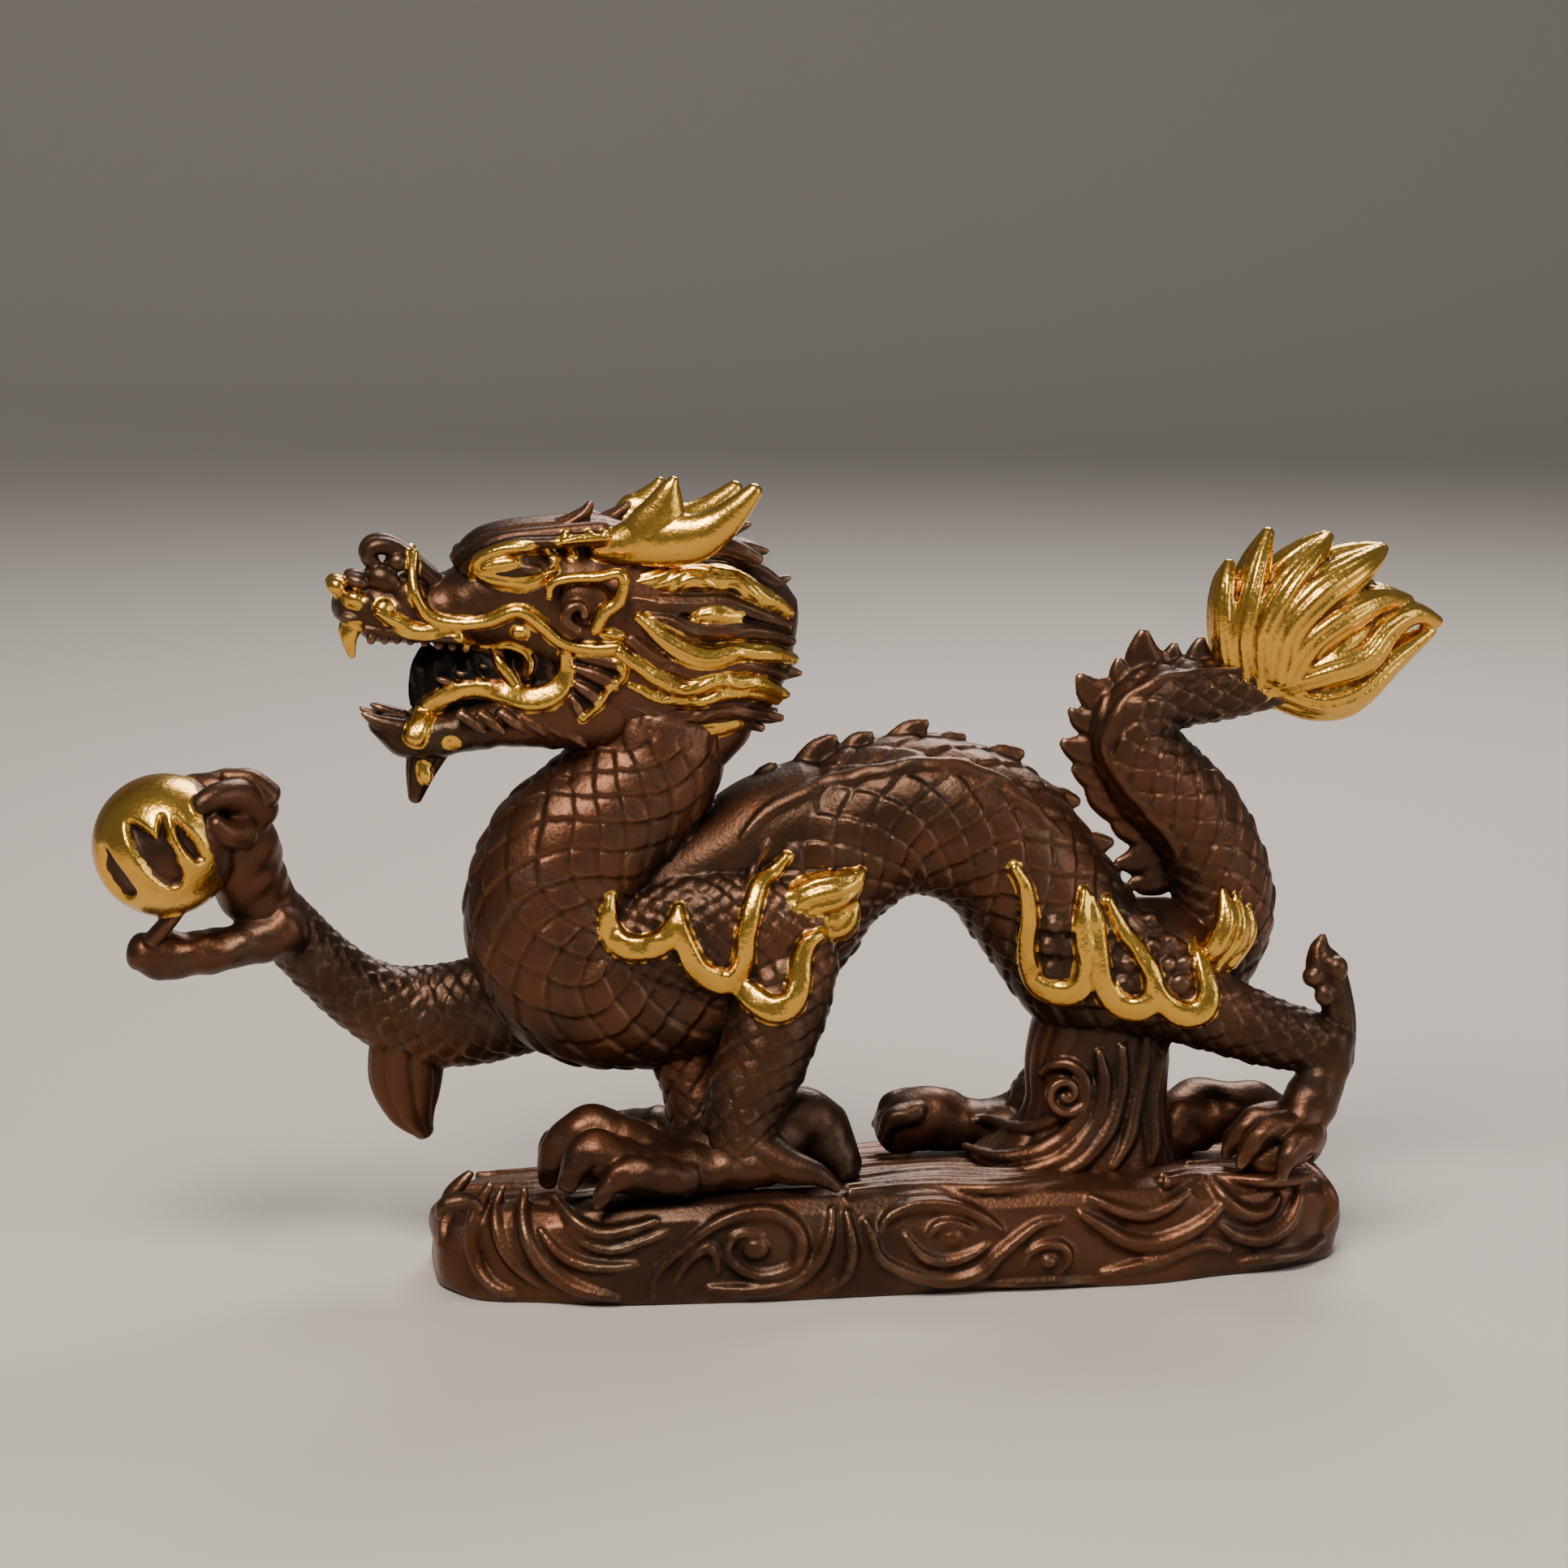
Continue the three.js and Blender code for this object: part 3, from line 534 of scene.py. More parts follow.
class Casting:
    """The forms of one piece of the sculpture, fused into one skin."""

    def __init__(self, name: str, voxel: float, budget: int) -> None:
        """Starts an empty piece.

        Args:
            name: the piece's name.
            voxel: grain of the fused skin, mm.
            budget: most triangles that the finished skin may have.
        """
        self.name, self.voxel, self.budget = name, voxel, budget
        self.forms: list[tuple[Surface, Rub]] = []
        self.tree: BVHTree | None = None

    def add(self, *surfaces: Surface, rub: Rub = Rub.PATINA) -> None:
        """Lays surfaces over what is there."""
        self.forms += [(s, rub) for s in surfaces]

    def both(self, *surfaces: Surface, rub: Rub = Rub.PATINA) -> None:
        """Lays surfaces on the near side and their mirror images on the far side."""
        self.add(*surfaces, *(s.mirrored() for s in surfaces), rub=rub)

    def merged(self) -> tuple[np.ndarray, np.ndarray]:
        """All points and faces so far."""
        points, faces, start = [], [], 0
        for surface, _ in self.forms:
            points.append(surface.points)
            faces.append(surface.faces + start)
            start += len(surface.points)
        return np.concatenate(points), np.concatenate(faces)

    def set_ground(self) -> None:
        """Takes the forms so far as the ground that bands are laid on."""
        points, faces = self.merged()
        self.tree = BVHTree.FromPolygons(points.tolist(), faces.tolist())

    def ground(self, places: np.ndarray, fallback: float, far: bool = False) -> tuple[np.ndarray, np.ndarray]:
        """Depth and normal of the ground under places of the side view.

        Args:
            places: (n, 2) x and z.
            fallback: depth y where the ground is missed, mm.
            far: look from the far side.

        Returns:
            The depths y and the outward normals.
        """
        sign = -1.0 if far else 1.0
        depth = np.full(len(places), np.nan)
        lean = np.tile([0.0, -sign, 0.0], (len(places), 1))
        for i, (x, z) in enumerate(places):
            spot, normal, _, _ = self.tree.ray_cast(Vector((x, -90.0 * sign, z)), Vector((0, sign, 0)))
            if spot is not None:
                depth[i] = spot.y
                lean[i] = normal if normal.y * sign < 0 else -normal
        good = ~np.isnan(depth)
        steps = np.arange(len(places))
        depth = np.interp(steps, steps[good], depth[good]) if good.any() else np.full(len(places), fallback * sign)
        kernel = np.array([1.0, 2.0, 3.0, 2.0, 1.0]) / 9.0
        blur = lambda v: np.convolve(np.pad(v, 2, mode="edge"), kernel, mode="valid")
        return blur(depth), unit(np.stack([blur(lean[:, k]) for k in range(3)], 1))

    def band(self, path: Rows, thick: float = 1.0, sink: float = 0.15, rub: Rub = Rub.BRIGHT, fallback: float = -14.0,
             far: bool = False, relief: Relief | None = None, power: float = 2.2, step: float = 0.45) -> None:
        """Lays a raised band on the ground.

        Args:
            path: stations [x, z, half width] of the side view.
            thick: half thickness, mm.
            sink: how far its middle lies below the ground, mm.
            rub: its finish.
            fallback: depth where the ground is missed.
            far: lay it on the far side.
            relief: its own relief.
            power: squareness of its section.
            step: fineness, mm.
        """
        rows, _ = evenly([[x, 0.0, z, w] for x, z, w in path], 1.2)
        depth, lean = self.ground(rows[:, [0, 2]], fallback, far)
        centre = np.stack([rows[:, 0], depth, rows[:, 2]], 1) - lean * sink
        width = np.maximum(rows[:, 3], 0.2)
        stations = np.column_stack([centre, np.minimum(np.full(len(rows), thick), width * 1.2), width, lean])
        self.add(limb(stations, step=step, power=power, relief=relief), rub=rub)

    def fuse(self, finish: bpy.types.Material) -> bpy.types.Object:
        """Fuses the forms into one skin and stores how it is worn and where shade and highlight are painted.

        The skin's cavities and crests come from how far each point lies from the mean of its
        neighbours, near and wide; its bright places from the bright forms that it lies on.

        Args:
            finish: the piece's material.

        Returns:
            The finished object, in metres.
        """
        points, faces = self.merged()
        rough = self.to_object(points * MM, faces, self.name + "_rough")
        remesh = rough.modifiers.new("fuse", "REMESH")
        remesh.mode, remesh.voxel_size, remesh.use_smooth_shade = "VOXEL", self.voxel * MM, True
        fused = bpy.data.meshes.new_from_object(rough.evaluated_get(bpy.context.evaluated_depsgraph_get()))
        bpy.data.objects.remove(rough)
        fused.name = self.name
        piece = bpy.data.objects.new(self.name, fused)
        bpy.context.scene.collection.objects.link(piece)

        count = len(fused.vertices)
        skin = np.empty(count * 3)
        fused.vertices.foreach_get("co", skin)
        skin = skin.reshape(-1, 3) / MM
        pairs = np.empty(len(fused.edges) * 2, np.int64)
        fused.edges.foreach_get("vertices", pairs)
        pairs = pairs.reshape(-1, 2)
        heads, tails = np.concatenate([pairs[:, 0], pairs[:, 1]]), np.concatenate([pairs[:, 1], pairs[:, 0]])
        degree = np.maximum(np.bincount(heads, minlength=count), 1)[:, None]

        def mean(values: np.ndarray) -> np.ndarray:
            """Mean of each point's neighbours."""
            return np.stack([np.bincount(heads, values[tails, k], count) for k in range(values.shape[1])], 1) / degree

        skin = 0.6 * skin + 0.4 * mean(skin)
        fused.vertices.foreach_set("co", (skin * MM).ravel())
        fused.update()
        facing = np.empty(count * 3)
        fused.vertices.foreach_get("normal", facing)
        facing = facing.reshape(-1, 3)
        spread, wear, fine = skin, [], (0.45 / self.voxel) ** 2
        for turns in (round(5 * fine), round(22 * fine)):
            for _ in range(turns):
                spread = 0.3 * spread + 0.7 * mean(spread)
            wear.append(np.einsum("ij,ij->i", skin - spread, facing))
        close, wide = wear
        # hollow: depth of recesses, painted dark partly as patina kept there and partly as painted shade
        hollow = smooth(0.015, 0.17, -close) * 0.75 + smooth(0.08, 0.95, -wide) * 0.65
        # crest: high spots, brightened partly as rubbed wear and partly as a painted highlight
        crest = smooth(0.06, 0.24, close)
        shares = np.stack([np.clip(hollow, 0, 1), crest], 1)
        shares = 0.6 * shares + 0.4 * mean(shares)
        # forms marked as painted shade are painted as deep recesses and lose their crest highlight
        painted_shade_forms = [s for s, rub in self.forms if rub is Rub.PAINTED_SHADE]
        if painted_shade_forms:
            dark = on_cloud(skin, np.concatenate([s.points for s in painted_shade_forms]),
                            np.concatenate([normals_of(s.points, s.faces) for s in painted_shade_forms]))
            shares[:, 0] = np.maximum(shares[:, 0], dark)
            shares[:, 1] *= 1.0 - dark
        gilt = np.zeros(count)
        bright = [s for s, rub in self.forms if rub is Rub.BRIGHT]
        if bright:
            kept = [np.ones(len(s.points), bool) if s.polished_and_lit is None else s.polished_and_lit for s in bright]
            gilt = on_cloud(skin, np.concatenate([s.points[k] for s, k in zip(bright, kept)]),
                            np.concatenate([normals_of(s.points, s.faces)[k] for s, k in zip(bright, kept)]))
            for _ in range(2):
                gilt = 0.5 * gilt + 0.5 * mean(gilt[:, None])[:, 0]
        for name, values in (("gilt", gilt), ("hollow", shares[:, 0]), ("crest", shares[:, 1])):
            fused.attributes.new(name, "FLOAT", "POINT").data.foreach_set("value", values.astype(np.float32))
        fused = self.thinned(piece)
        fused.materials.clear()
        fused.materials.append(finish)
        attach(piece, "root")
        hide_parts(NODE)
        LOG.info("%s: %d triangles, bright share %.2f", self.name, len(fused.polygons), float(gilt.mean()))
        return piece

    def thinned(self, piece: bpy.types.Object) -> bpy.types.Mesh:
        """Collapses the skin's least useful edges until it is within the budget; its attributes follow."""
        faces = 2 * len(piece.data.polygons)
        thin = piece.modifiers.new("thin", "DECIMATE")
        thin.ratio = min(1.0, self.budget / faces)
        thin.use_collapse_triangulate = True
        dense = piece.data
        mesh = bpy.data.meshes.new_from_object(piece.evaluated_get(bpy.context.evaluated_depsgraph_get()))
        piece.modifiers.clear()
        piece.data = mesh
        bpy.data.meshes.remove(dense)
        mesh.name = self.name
        mesh.polygons.foreach_set("use_smooth", np.ones(len(mesh.polygons), bool))
        return mesh

    @staticmethod
    def to_object(points: np.ndarray, faces: np.ndarray, name: str) -> bpy.types.Object:
        """A Blender object of the triangles."""
        mesh = bpy.data.meshes.new(name)
        mesh.vertices.add(len(points))
        mesh.vertices.foreach_set("co", points.ravel())
        mesh.loops.add(faces.size)
        mesh.loops.foreach_set("vertex_index", faces.ravel())
        mesh.polygons.add(len(faces))
        mesh.polygons.foreach_set("loop_start", np.arange(0, faces.size, 3))
        mesh.polygons.foreach_set("loop_total", np.full(len(faces), 3))
        mesh.update(calc_edges=True)
        obj = bpy.data.objects.new(name, mesh)
        bpy.context.scene.collection.objects.link(obj)
        return obj


# ---------------------------------------------------------------- trunk and tail
@dataclass
class Trunk:
    """Neck, breast, arched back and hips: one scaled body folded in an S."""

    half_depth: float = 14.5
    path: Rows = field(default_factory=lambda: [
        [-46, 110, 13, 13.2], [-48.3, 103, 13.5, 13.8], [-55.8, 93.7, 14.5, 15.0], [-64.6, 84.3, 14.5, 16.6],
        [-68, 72, 14.5, 17.0], [-61, 60.6, 14.5, 17.2], [-41, 60.6, 14.5, 17.2], [-25, 71.5, 14.5, 17.6],
        [-13.6, 83.8, 14.5, 16.2], [-1, 91.0, 14.5, 15.6], [10, 91.1, 14.5, 15.5], [22.6, 85, 14.5, 15.3],
        [33, 71.5, 14.5, 15.1], [41, 60.5, 14.5, 15], [50, 56, 13, 13.5]])
    scales: Scales = Scales(pitch=3.7, columns=13, lift=1.15, point=1.35)
    ridge: Rows = field(default_factory=lambda: [
        [-31, 90.4, 0.7], [-25.5, 95.4, 1.5], [-15, 99.8, 1.7], [-5, 102.4, 1.7], [5.8, 103.6, 1.7], [14, 102.6, 1.7],
        [22, 98.6, 1.7], [29, 92, 1.6], [34.4, 85, 1.5], [37.4, 77.6, 0.8]])
    spines: Rows = field(default_factory=lambda: [
        [-24.5, 98.0, 0.15, 1, 4.6], [-14.5, 101.5, 0.45, 1, 7.0], [-6.5, 104, 0.5, 1, 5.0], [3.5, 105.2, 0.65, 1, 6.4],
        [12, 104.4, 0.9, 1, 4.2], [21.5, 100.4, 1.5, 1, 6.4], [26.5, 96.4, 1.5, 0.5, 4.0], [32.5, 92.0, 2, 0.6, 6.4],
        [35.8, 87.4, 1.6, 0.2, 4.0], [40.5, 82.4, 1.8, 1, 5.8], [43, 76.2, 1.5, 0.6, 4.4]])

    def part(self, rear: bool) -> Surface:
        """The scaled body before or behind the top of the arch; the two share one carving."""
        rows = [[x, 0, z, a, b] for x, z, a, b in self.path]
        stations, length = evenly(rows, 0.5)
        cut = float(length[np.flatnonzero(stations[:, 0] < 23.5)[-1]])
        span = (cut - 1.5, float(length[-1])) if rear else (0.0, cut + 1.5)
        return limb(rows, 0.4, relief=self.scales, power=2.15, span=span)

    def body(self) -> list[Surface]:
        """The scaled forequarters and the forms that fill the body's folds."""
        return [
            self.part(False),
            limb([[-46, 0, 78, 11, 9], [-36, 0, 84, 12, 9.4], [-26, 0, 88, 13, 12], [-16, 0, 90, 13, 13.6]], 0.7),
            limb([[46, 0, 66, 12.4, 8], [54, -1, 62.5, 13, 11], [62, -1, 61, 11.4, 10]], 0.7),
        ]

    def crown(self) -> list[Surface]:
        """Spines along the back."""
        return [Spine(x, z, dx, dz, size).shape() for x, z, dx, dz, size in self.spines]


@dataclass
class Spine:
    """A shell-like lobe that stands on the back and leans towards the tail."""

    x: float
    z: float
    dx: float
    dz: float
    size: float
    root: float = 3.0
    thick: float = 1.5

    def shape(self) -> Surface:
        """Its surface: a tapering flattened limb whose tip bends backwards."""
        reach = math.hypot(self.dx, self.dz)
        ux, uz = self.dx / reach, self.dz / reach
        root = 1.2 + 0.46 * self.size
        rows = [[self.x + ux * k * self.size + bend * uz, 0, self.z + uz * k * self.size - bend * ux,
                 self.thick * (1.35 - 0.75 * max(k, 0)), root * w]
                for k, w, bend in ((-0.5, 1.15, 0), (0.0, 1.1, -0.4), (0.45, 0.82, -0.5), (0.8, 0.5, 0.1), (1.02, 0.26, 0.7))]
        return limb(rows, 0.35, around=24, ends=0.6, relief=Strands(6, 0.5, 0.0, 9, 0.2))


@dataclass
class Tail:
    """Tail rising from the hips, bent back on itself below the tuft."""

    path: Rows = field(default_factory=lambda: [
        [54, 54, 8, 9], [62, 57, 9, 10.3], [68, 65, 9, 10.2], [69, 75.2, 9, 9.9], [63, 88.8, 9, 9.9],
        [53.6, 99, 8.6, 9.4], [49.2, 107.4, 8, 8.2], [53, 113.3, 7.2, 7.2], [60, 115.1, 6.6, 6.5], [69, 115.9, 5.9, 5.9],
        [80, 117.6, 5.2, 5.4]])
    scales: Scales = Scales(pitch=3.1, columns=9, lift=1.05, point=1.6, groove=0.45)
    ridge: Rows = field(default_factory=lambda: [
        [57, 76, 0.6], [57.6, 84, 1.2], [51.4, 92.6, 1.3], [45.4, 99.6, 1.3], [43.2, 107, 1.3], [46.2, 113.6, 1.3],
        [53, 118.2, 1.3], [62, 119.6, 1.2], [72, 120.4, 0.6]])
    spines: Rows = field(default_factory=lambda: [
        [54.6, 77, -1, -0.3, 4.6], [52.6, 82, -1, -0.4, 5.6], [51, 88, -1, 0.3, 5.6], [46.5, 93.5, -1, 0.4, 6.4],
        [43.5, 99, -1, 0.1, 5.6], [41.9, 104.2, -1, 0.1, 6.4], [41.6, 110, -1, 0.3, 4.8], [43.6, 114.8, -1, 0.7, 6.2],
        [48.6, 118.4, -0.7, 1, 4], [53.2, 120.0, -0.25, 1, 7.6], [59, 120.4, -0.3, 1, 4.4], [64.6, 120.2, -0.25, 1, 5.6],
        [71, 119.8, 0.2, 1, 3.8]])

    def body(self) -> list[Surface]:
        """The scaled tail."""
        return [limb([[x, 0, z, a, b] for x, z, a, b in self.path], 0.5, relief=self.scales)]

    def crown(self) -> list[Surface]:
        """Spines along the tail's outer edge."""
        return [Spine(x, z, dx, dz, size, root=2.6, thick=1.4).shape() for x, z, dx, dz, size in self.spines]


@dataclass
class Tuft:
    """Flame-like brush of hair at the tail's end, polished bright."""

    locks: Sequence[Rows] = field(default_factory=lambda: [
        [[70.5, 0, 117, 3.6, 3], [69, -1, 124, 4.4, 3.2], [68.2, -1.5, 131, 4.2, 2.9], [68.4, -1, 137, 3.2, 2.3],
         [69.3, 0, 141.0, 1.4, 1.3]],
        [[73, -1, 118, 4.6, 3.6], [71.6, -2.5, 126, 5, 3.4], [72.8, -3, 134, 4.6, 3.2], [74.8, -2, 141, 3.4, 2.7],
         [77.2, 0, 147.2, 1.5, 1.4]],
        [[76, -2, 119, 5, 4], [75.6, -4, 128, 5.4, 3.8], [79.8, -5, 136.4, 5, 4.0], [85.4, -3.5, 142.4, 3.4, 3.0],
         [89.4, -1, 146.2, 1.4, 1.3]],
        [[78.6, -3, 120, 5.6, 4.4], [80.2, -5, 128.5, 6, 4.8], [85.6, -6, 134.9, 5.4, 5.1], [93, -5, 139.4, 4.2, 4.2],
         [98.4, -2.5, 142.2, 2.6, 2.7], [101, -1, 143.6, 1.2, 1.2]],
        [[81, -3, 119.6, 5.6, 4.2], [85, -5.4, 126.6, 5.8, 4.6], [92.2, -5.6, 131.2, 5, 4.4], [99.4, -3.6, 133.6, 3.4, 3.0],
         [106.2, -1.4, 133.0, 1.5, 1.4]],
        [[81.5, -2.4, 118, 5.4, 3.8], [88, -5, 120.4, 5.4, 4.4], [95.6, -5, 122.6, 5, 4.2], [101, -3.6, 127.8, 4, 3.4],
         [107, -2, 130.4, 2.8, 2.5], [112.8, -0.6, 128.4, 1.3, 1.3]],
        [[80.6, -1, 115.6, 4.8, 3.2], [88, -3, 113.6, 5, 3.8], [95.6, -3, 115.8, 4.6, 3.8], [103, -2, 121.4, 3.6, 3.0],
         [111.4, -0.5, 126.6, 1.3, 1.4]],
        [[79.6, -0.5, 113.4, 3.6, 2.2], [86, -1.6, 111.6, 4, 2.6], [93, -1.6, 112, 4, 2.8], [98.6, -1, 115.6, 3.4, 2.8],
         [104, 0, 119.8, 1.4, 1.4]],
    ])
    heart: Rows = field(default_factory=lambda: [
        [72, 0, 115.6, 4.6, 4.6], [79, 0, 119.6, 7.4, 9], [86, 0, 125, 9.6, 14], [92.5, 0, 130, 8.4, 14.6],
        [97, 0, 133.6, 5, 10]])
    strands: Strands = Strands(11, 0.75, 0.7, 12, 0.4)

    def build(self) -> Casting:
        """Shapes the tuft."""
        piece = Casting("tail_tuft", 0.36, 78000)
        piece.add(limb(self.heart, 0.5, relief=Strands(26, 0.8, 1.2, 16)), rub=Rub.BRIGHT)
        for k, lock in enumerate(self.locks):
            near = limb(lock, 0.4, relief=Strands(11, 0.75, 0.7, 12, 0.4 + k))
            piece.add(near, near.mirrored(), rub=Rub.BRIGHT)
        piece.add(limb([[62, 0, 115.2, 6.2, 6.2], [70, 0, 116, 5.8, 5.8], [77, 0, 117.4, 5.4, 5.6]], 0.5,
                       relief=Scales(3.1, 8, 1.0, 1.6)))
        return piece


# ---------------------------------------------------------------- head
@dataclass
class Head:
    """Face with open mouth, brows, ears, horns and whiskers; the mane's own locks follow behind."""

    skull: Rows = field(default_factory=lambda: [
        [-107.4, 0, 136.8, 5.8, 3.8], [-101, 0, 135.4, 7.6, 6.2], [-93, 0, 134.4, 7.8, 5.6], [-85, 0, 136, 9.4, 7.6],
        [-76, 0, 137.6, 11.4, 11], [-66, 0, 136.4, 12.6, 13.6], [-52, 0, 131.5, 13.4, 16]])
    jaw: Rows = field(default_factory=lambda: [
        [-101.8, 0, 113, 3.4, 2.2], [-97, 0, 110.6, 6.0, 4.2], [-90, 0, 110.8, 7.4, 4.6], [-80, 0, 113, 8.8, 5.4],
        [-70, 0, 115.4, 10.8, 8.2], [-58, 0, 117, 12.4, 10.6]])
    whisker: Rows = field(default_factory=lambda: [
        [-94.6, 147, 0.9], [-94.9, 141.9, 0.9], [-94.1, 138.1, 0.95], [-91.3, 134.6, 1.1], [-86.3, 133.5, 1.1],
        [-80.6, 134.0, 1.1], [-76.2, 135.9, 1.1], [-73.6, 135.7, 1.1], [-69.9, 132.8, 1.15], [-66.3, 129.8, 1.1],
        [-61.4, 128.6, 1.15], [-55.7, 128.6, 1.2], [-52.0, 125.7, 1.2], [-47.5, 122.6, 1.3], [-43.1, 121.2, 1.3],
        [-38.0, 121.6, 1.4], [-32.9, 122.2, 1.4], [-27.7, 120.7, 1.3], [-22.6, 117.8, 0.9]])
    lips: Sequence[Rows] = field(default_factory=lambda: [
        [[-101.8, 136.2, 0.8], [-98.7, 134.2, 1.3], [-94.9, 132.4, 1.4], [-90.5, 132.2, 1.2], [-86.1, 132.9, 0.8]],
        [[-86.8, 132.1, 0.7], [-84.4, 129.7, 0.9], [-79.9, 128.4, 0.9], [-76.1, 128.9, 0.9], [-73.3, 127.5, 0.8],
         [-72.3, 125.2, 0.8], [-73.0, 123.2, 0.6]],
        [[-79.2, 127.8, 0.5], [-78.1, 125.2, 1.1], [-76.4, 122.9, 1.2], [-74.6, 120.4, 0.9]]])
    jaw_band: Rows = field(default_factory=lambda: [
        [-95.2, 110.6, 1.7], [-92.8, 115.0, 1.9], [-88.9, 118.5, 1.7], [-84.5, 120.0, 1.6], [-78.8, 119.6, 1.8],
        [-73.7, 118.6, 2.0], [-69.9, 118.9, 2.0], [-66.9, 120.8, 1.9], [-65.3, 123.9, 1.5], [-65.6, 127.6, 1.0]])
    ear: Rows = field(default_factory=lambda: [
        [-69.0, -13.4, 139.2, 0.9, 0.8], [-68.4, -13.8, 141.7, 1.2, 1.0], [-64.6, -14.4, 142.8, 1.3, 1.1],
        [-59.5, -15.2, 143.0, 1.4, 1.1], [-55.9, -15.8, 143.7, 1.4, 1.1], [-54.8, -15.8, 142.0, 1.4, 1.2],
        [-55.9, -15.6, 138.2, 1.4, 1.4], [-58.6, -15.4, 136.0, 1.4, 1.4], [-60.3, -15, 132.6, 1.2, 1.2]])

    def build(self) -> Casting:
        """Shapes the face."""
        piece = Casting("head", 0.32, 185000)
        mouth = Knots(0.25, 7)
        piece.add(limb(self.skull, 0.6, power=2.3, relief=mouth), limb(self.jaw, 0.6, power=2.4, relief=mouth),
                  limb([[-60, 0, 122, 12.6, 15], [-48, 0, 124, 13.6, 18]], 0.8))
        # inner wall of the open mouth, painted near black as the shade inside it
        piece.add(limb([[-92.5, 0.4, 121.5, 3.4, 6.6], [-88, 0, 121, 4.6, 8.2], [-80, 0, 121.5, 6.2, 8.4], [-70, 0, 122, 9, 9]],
                       0.6, relief=Knots(1.3, 6), ends=0.9), rub=Rub.PAINTED_SHADE)
        self.muzzle(piece)
        self.brows(piece)
        self.chin(piece)
        piece.set_ground()
        self.bands(piece)
        self.ears(piece)
        self.horns(piece)
        return piece

    def muzzle(self, piece: Casting) -> None:
        """Nose curls, nostril lobes, fangs, teeth and palate."""
        curl = [[-90, -2.6, 140.6, 2.2, 2], [-93.4, -2.8, 143.6, 2.2, 2.0], [-96.4, -3, 146.4, 2.0, 1.9],
                [-99.6, -3.2, 148.2, 1.9, 1.8], [-102.4, -3.4, 148.0, 1.8, 1.7], [-103.4, -3.4, 146, 1.6, 1.5],
                [-101.8, -3.5, 144.8, 1.4, 1.2]]
        piece.both(limb(curl, 0.4), blob((-97.6, -4.6, 145.2), (2.0, 1.6, 1.9)), blob((-100.4, -4.6, 141.8), (3.4, 2.2, 2.6), 30),
                   blob((-95.4, -5.6, 138.4), (3.6, 2.2, 3.4), -30))
        lobes = [((-109.4, -2.4, 140.4), (2.2, 2.2, 1.9), 35), ((-106.0, -5.2, 138.2), (2.3, 1.9, 1.7), 25),
                 ((-100.7, -6.9, 136.5), (1.9, 1.5, 1.8), -20)]
        for centre, radii, lean in lobes:
            piece.both(blob(centre, radii, lean, 0.35), rub=Rub.BRIGHT)
        piece.both(blob((-103.8, -6.0, 137.0), (1.8, 1.4, 2.2), 10), blob((-105.2, -3.4, 141.4), (2.8, 2.4, 1.6), 20),
                   blob((-106.6, -4.6, 134.4), (3.0, 2.2, 1.5), 10))
        piece.both(limb([[-106.2, -4.6, 133.4, 1.7, 1.9], [-107.3, -4.8, 130.6, 1.4, 1.7], [-106.8, -4.8, 126.9, 0.5, 0.7]],
                        0.35), rub=Rub.BRIGHT)
        for x, z, r in ((-103.2, 130.6, 1.0), (-100.6, 130.4, 0.9), (-98.2, 130.4, 0.9), (-95.6, 130.2, 0.95),
                        (-92.8, 129.8, 0.95), (-90.1, 129.4, 1.1), (-87.4, 128.8, 0.9), (-84.8, 128.4, 0.9)):
            piece.both(blob((x, -6.6, z), (r, 0.9, r * 1.2), step=0.35))
        piece.both(limb([[-104, -5.6, 132.4, 1.4, 1.1], [-96, -7.0, 131.4, 1.5, 1.2], [-86, -8.0, 130.6, 1.6, 1.3]], 0.5))

    def brows(self, piece: Casting) -> None:
        """Brow ridges from the bridge of the nose back to the horns, crest lobes, eyes."""
        ridge = Strands(5, 0.4, 0.3, 9)
        piece.add(limb([[-84.6, 0, 145.0, 4.2, 2.6], [-80, 0, 148.6, 5.6, 3.0], [-70, 0, 150.2, 6.0, 3.0],
                        [-58, 0, 149.6, 6.4, 3.4], [-48, 0, 146.4, 8, 4]], 0.5, relief=Strands(12, 0.5, 0.4, 9)))
        piece.both(limb([[-85.4, -3.2, 144.6, 1.6, 1.9], [-82.4, -6.2, 147.6, 1.7, 1.5], [-77, -8.0, 150.0, 1.7, 1.4],
                         [-68, -8.6, 151.0, 1.7, 1.4], [-58, -8.6, 151.6, 1.8, 1.6]], 0.4),
                   limb([[-84.2, -6.6, 143.8, 1.6, 1.6], [-82, -9.2, 146.6, 1.6, 1.2], [-76, -10.6, 149.0, 1.6, 1.2],
                         [-68, -11.0, 149.4, 1.6, 1.2], [-58, -10.6, 149.8, 1.6, 1.4]], 0.4),
                   blob((-85.0, -4.0, 146.2), (1.5, 1.7, 1.5)))
        piece.add(limb([[-70, -2.4, 149.6, 2.6, 2.0], [-64.6, -2.8, 151.6, 2.3, 2.0], [-61.2, -3, 153.8, 1.7, 1.5],
                        [-59.8, -3, 155.8, 0.8, 0.8]], 0.4, relief=ridge),
                  limb([[-62, 3, 149.8, 2.6, 2.0], [-56.6, 3.2, 151.6, 2.2, 1.8], [-53.4, 3.3, 153.4, 1.6, 1.3],
                        [-51.6, 3.4, 154.9, 0.8, 0.8]], 0.4, relief=ridge),
                  limb([[-66, 3, 149.8, 2.4, 1.8], [-61, 3.2, 151.4, 2.0, 1.6], [-57.6, 3.3, 152.6, 0.9, 0.9]], 0.4))
        piece.both(blob((-75.6, -9.6, 144.4), (7.4, 3.0, 3.6), 4))
        piece.both(blob((-72.6, -12.2, 144.3), (2.6, 0.9, 1.1), 8))

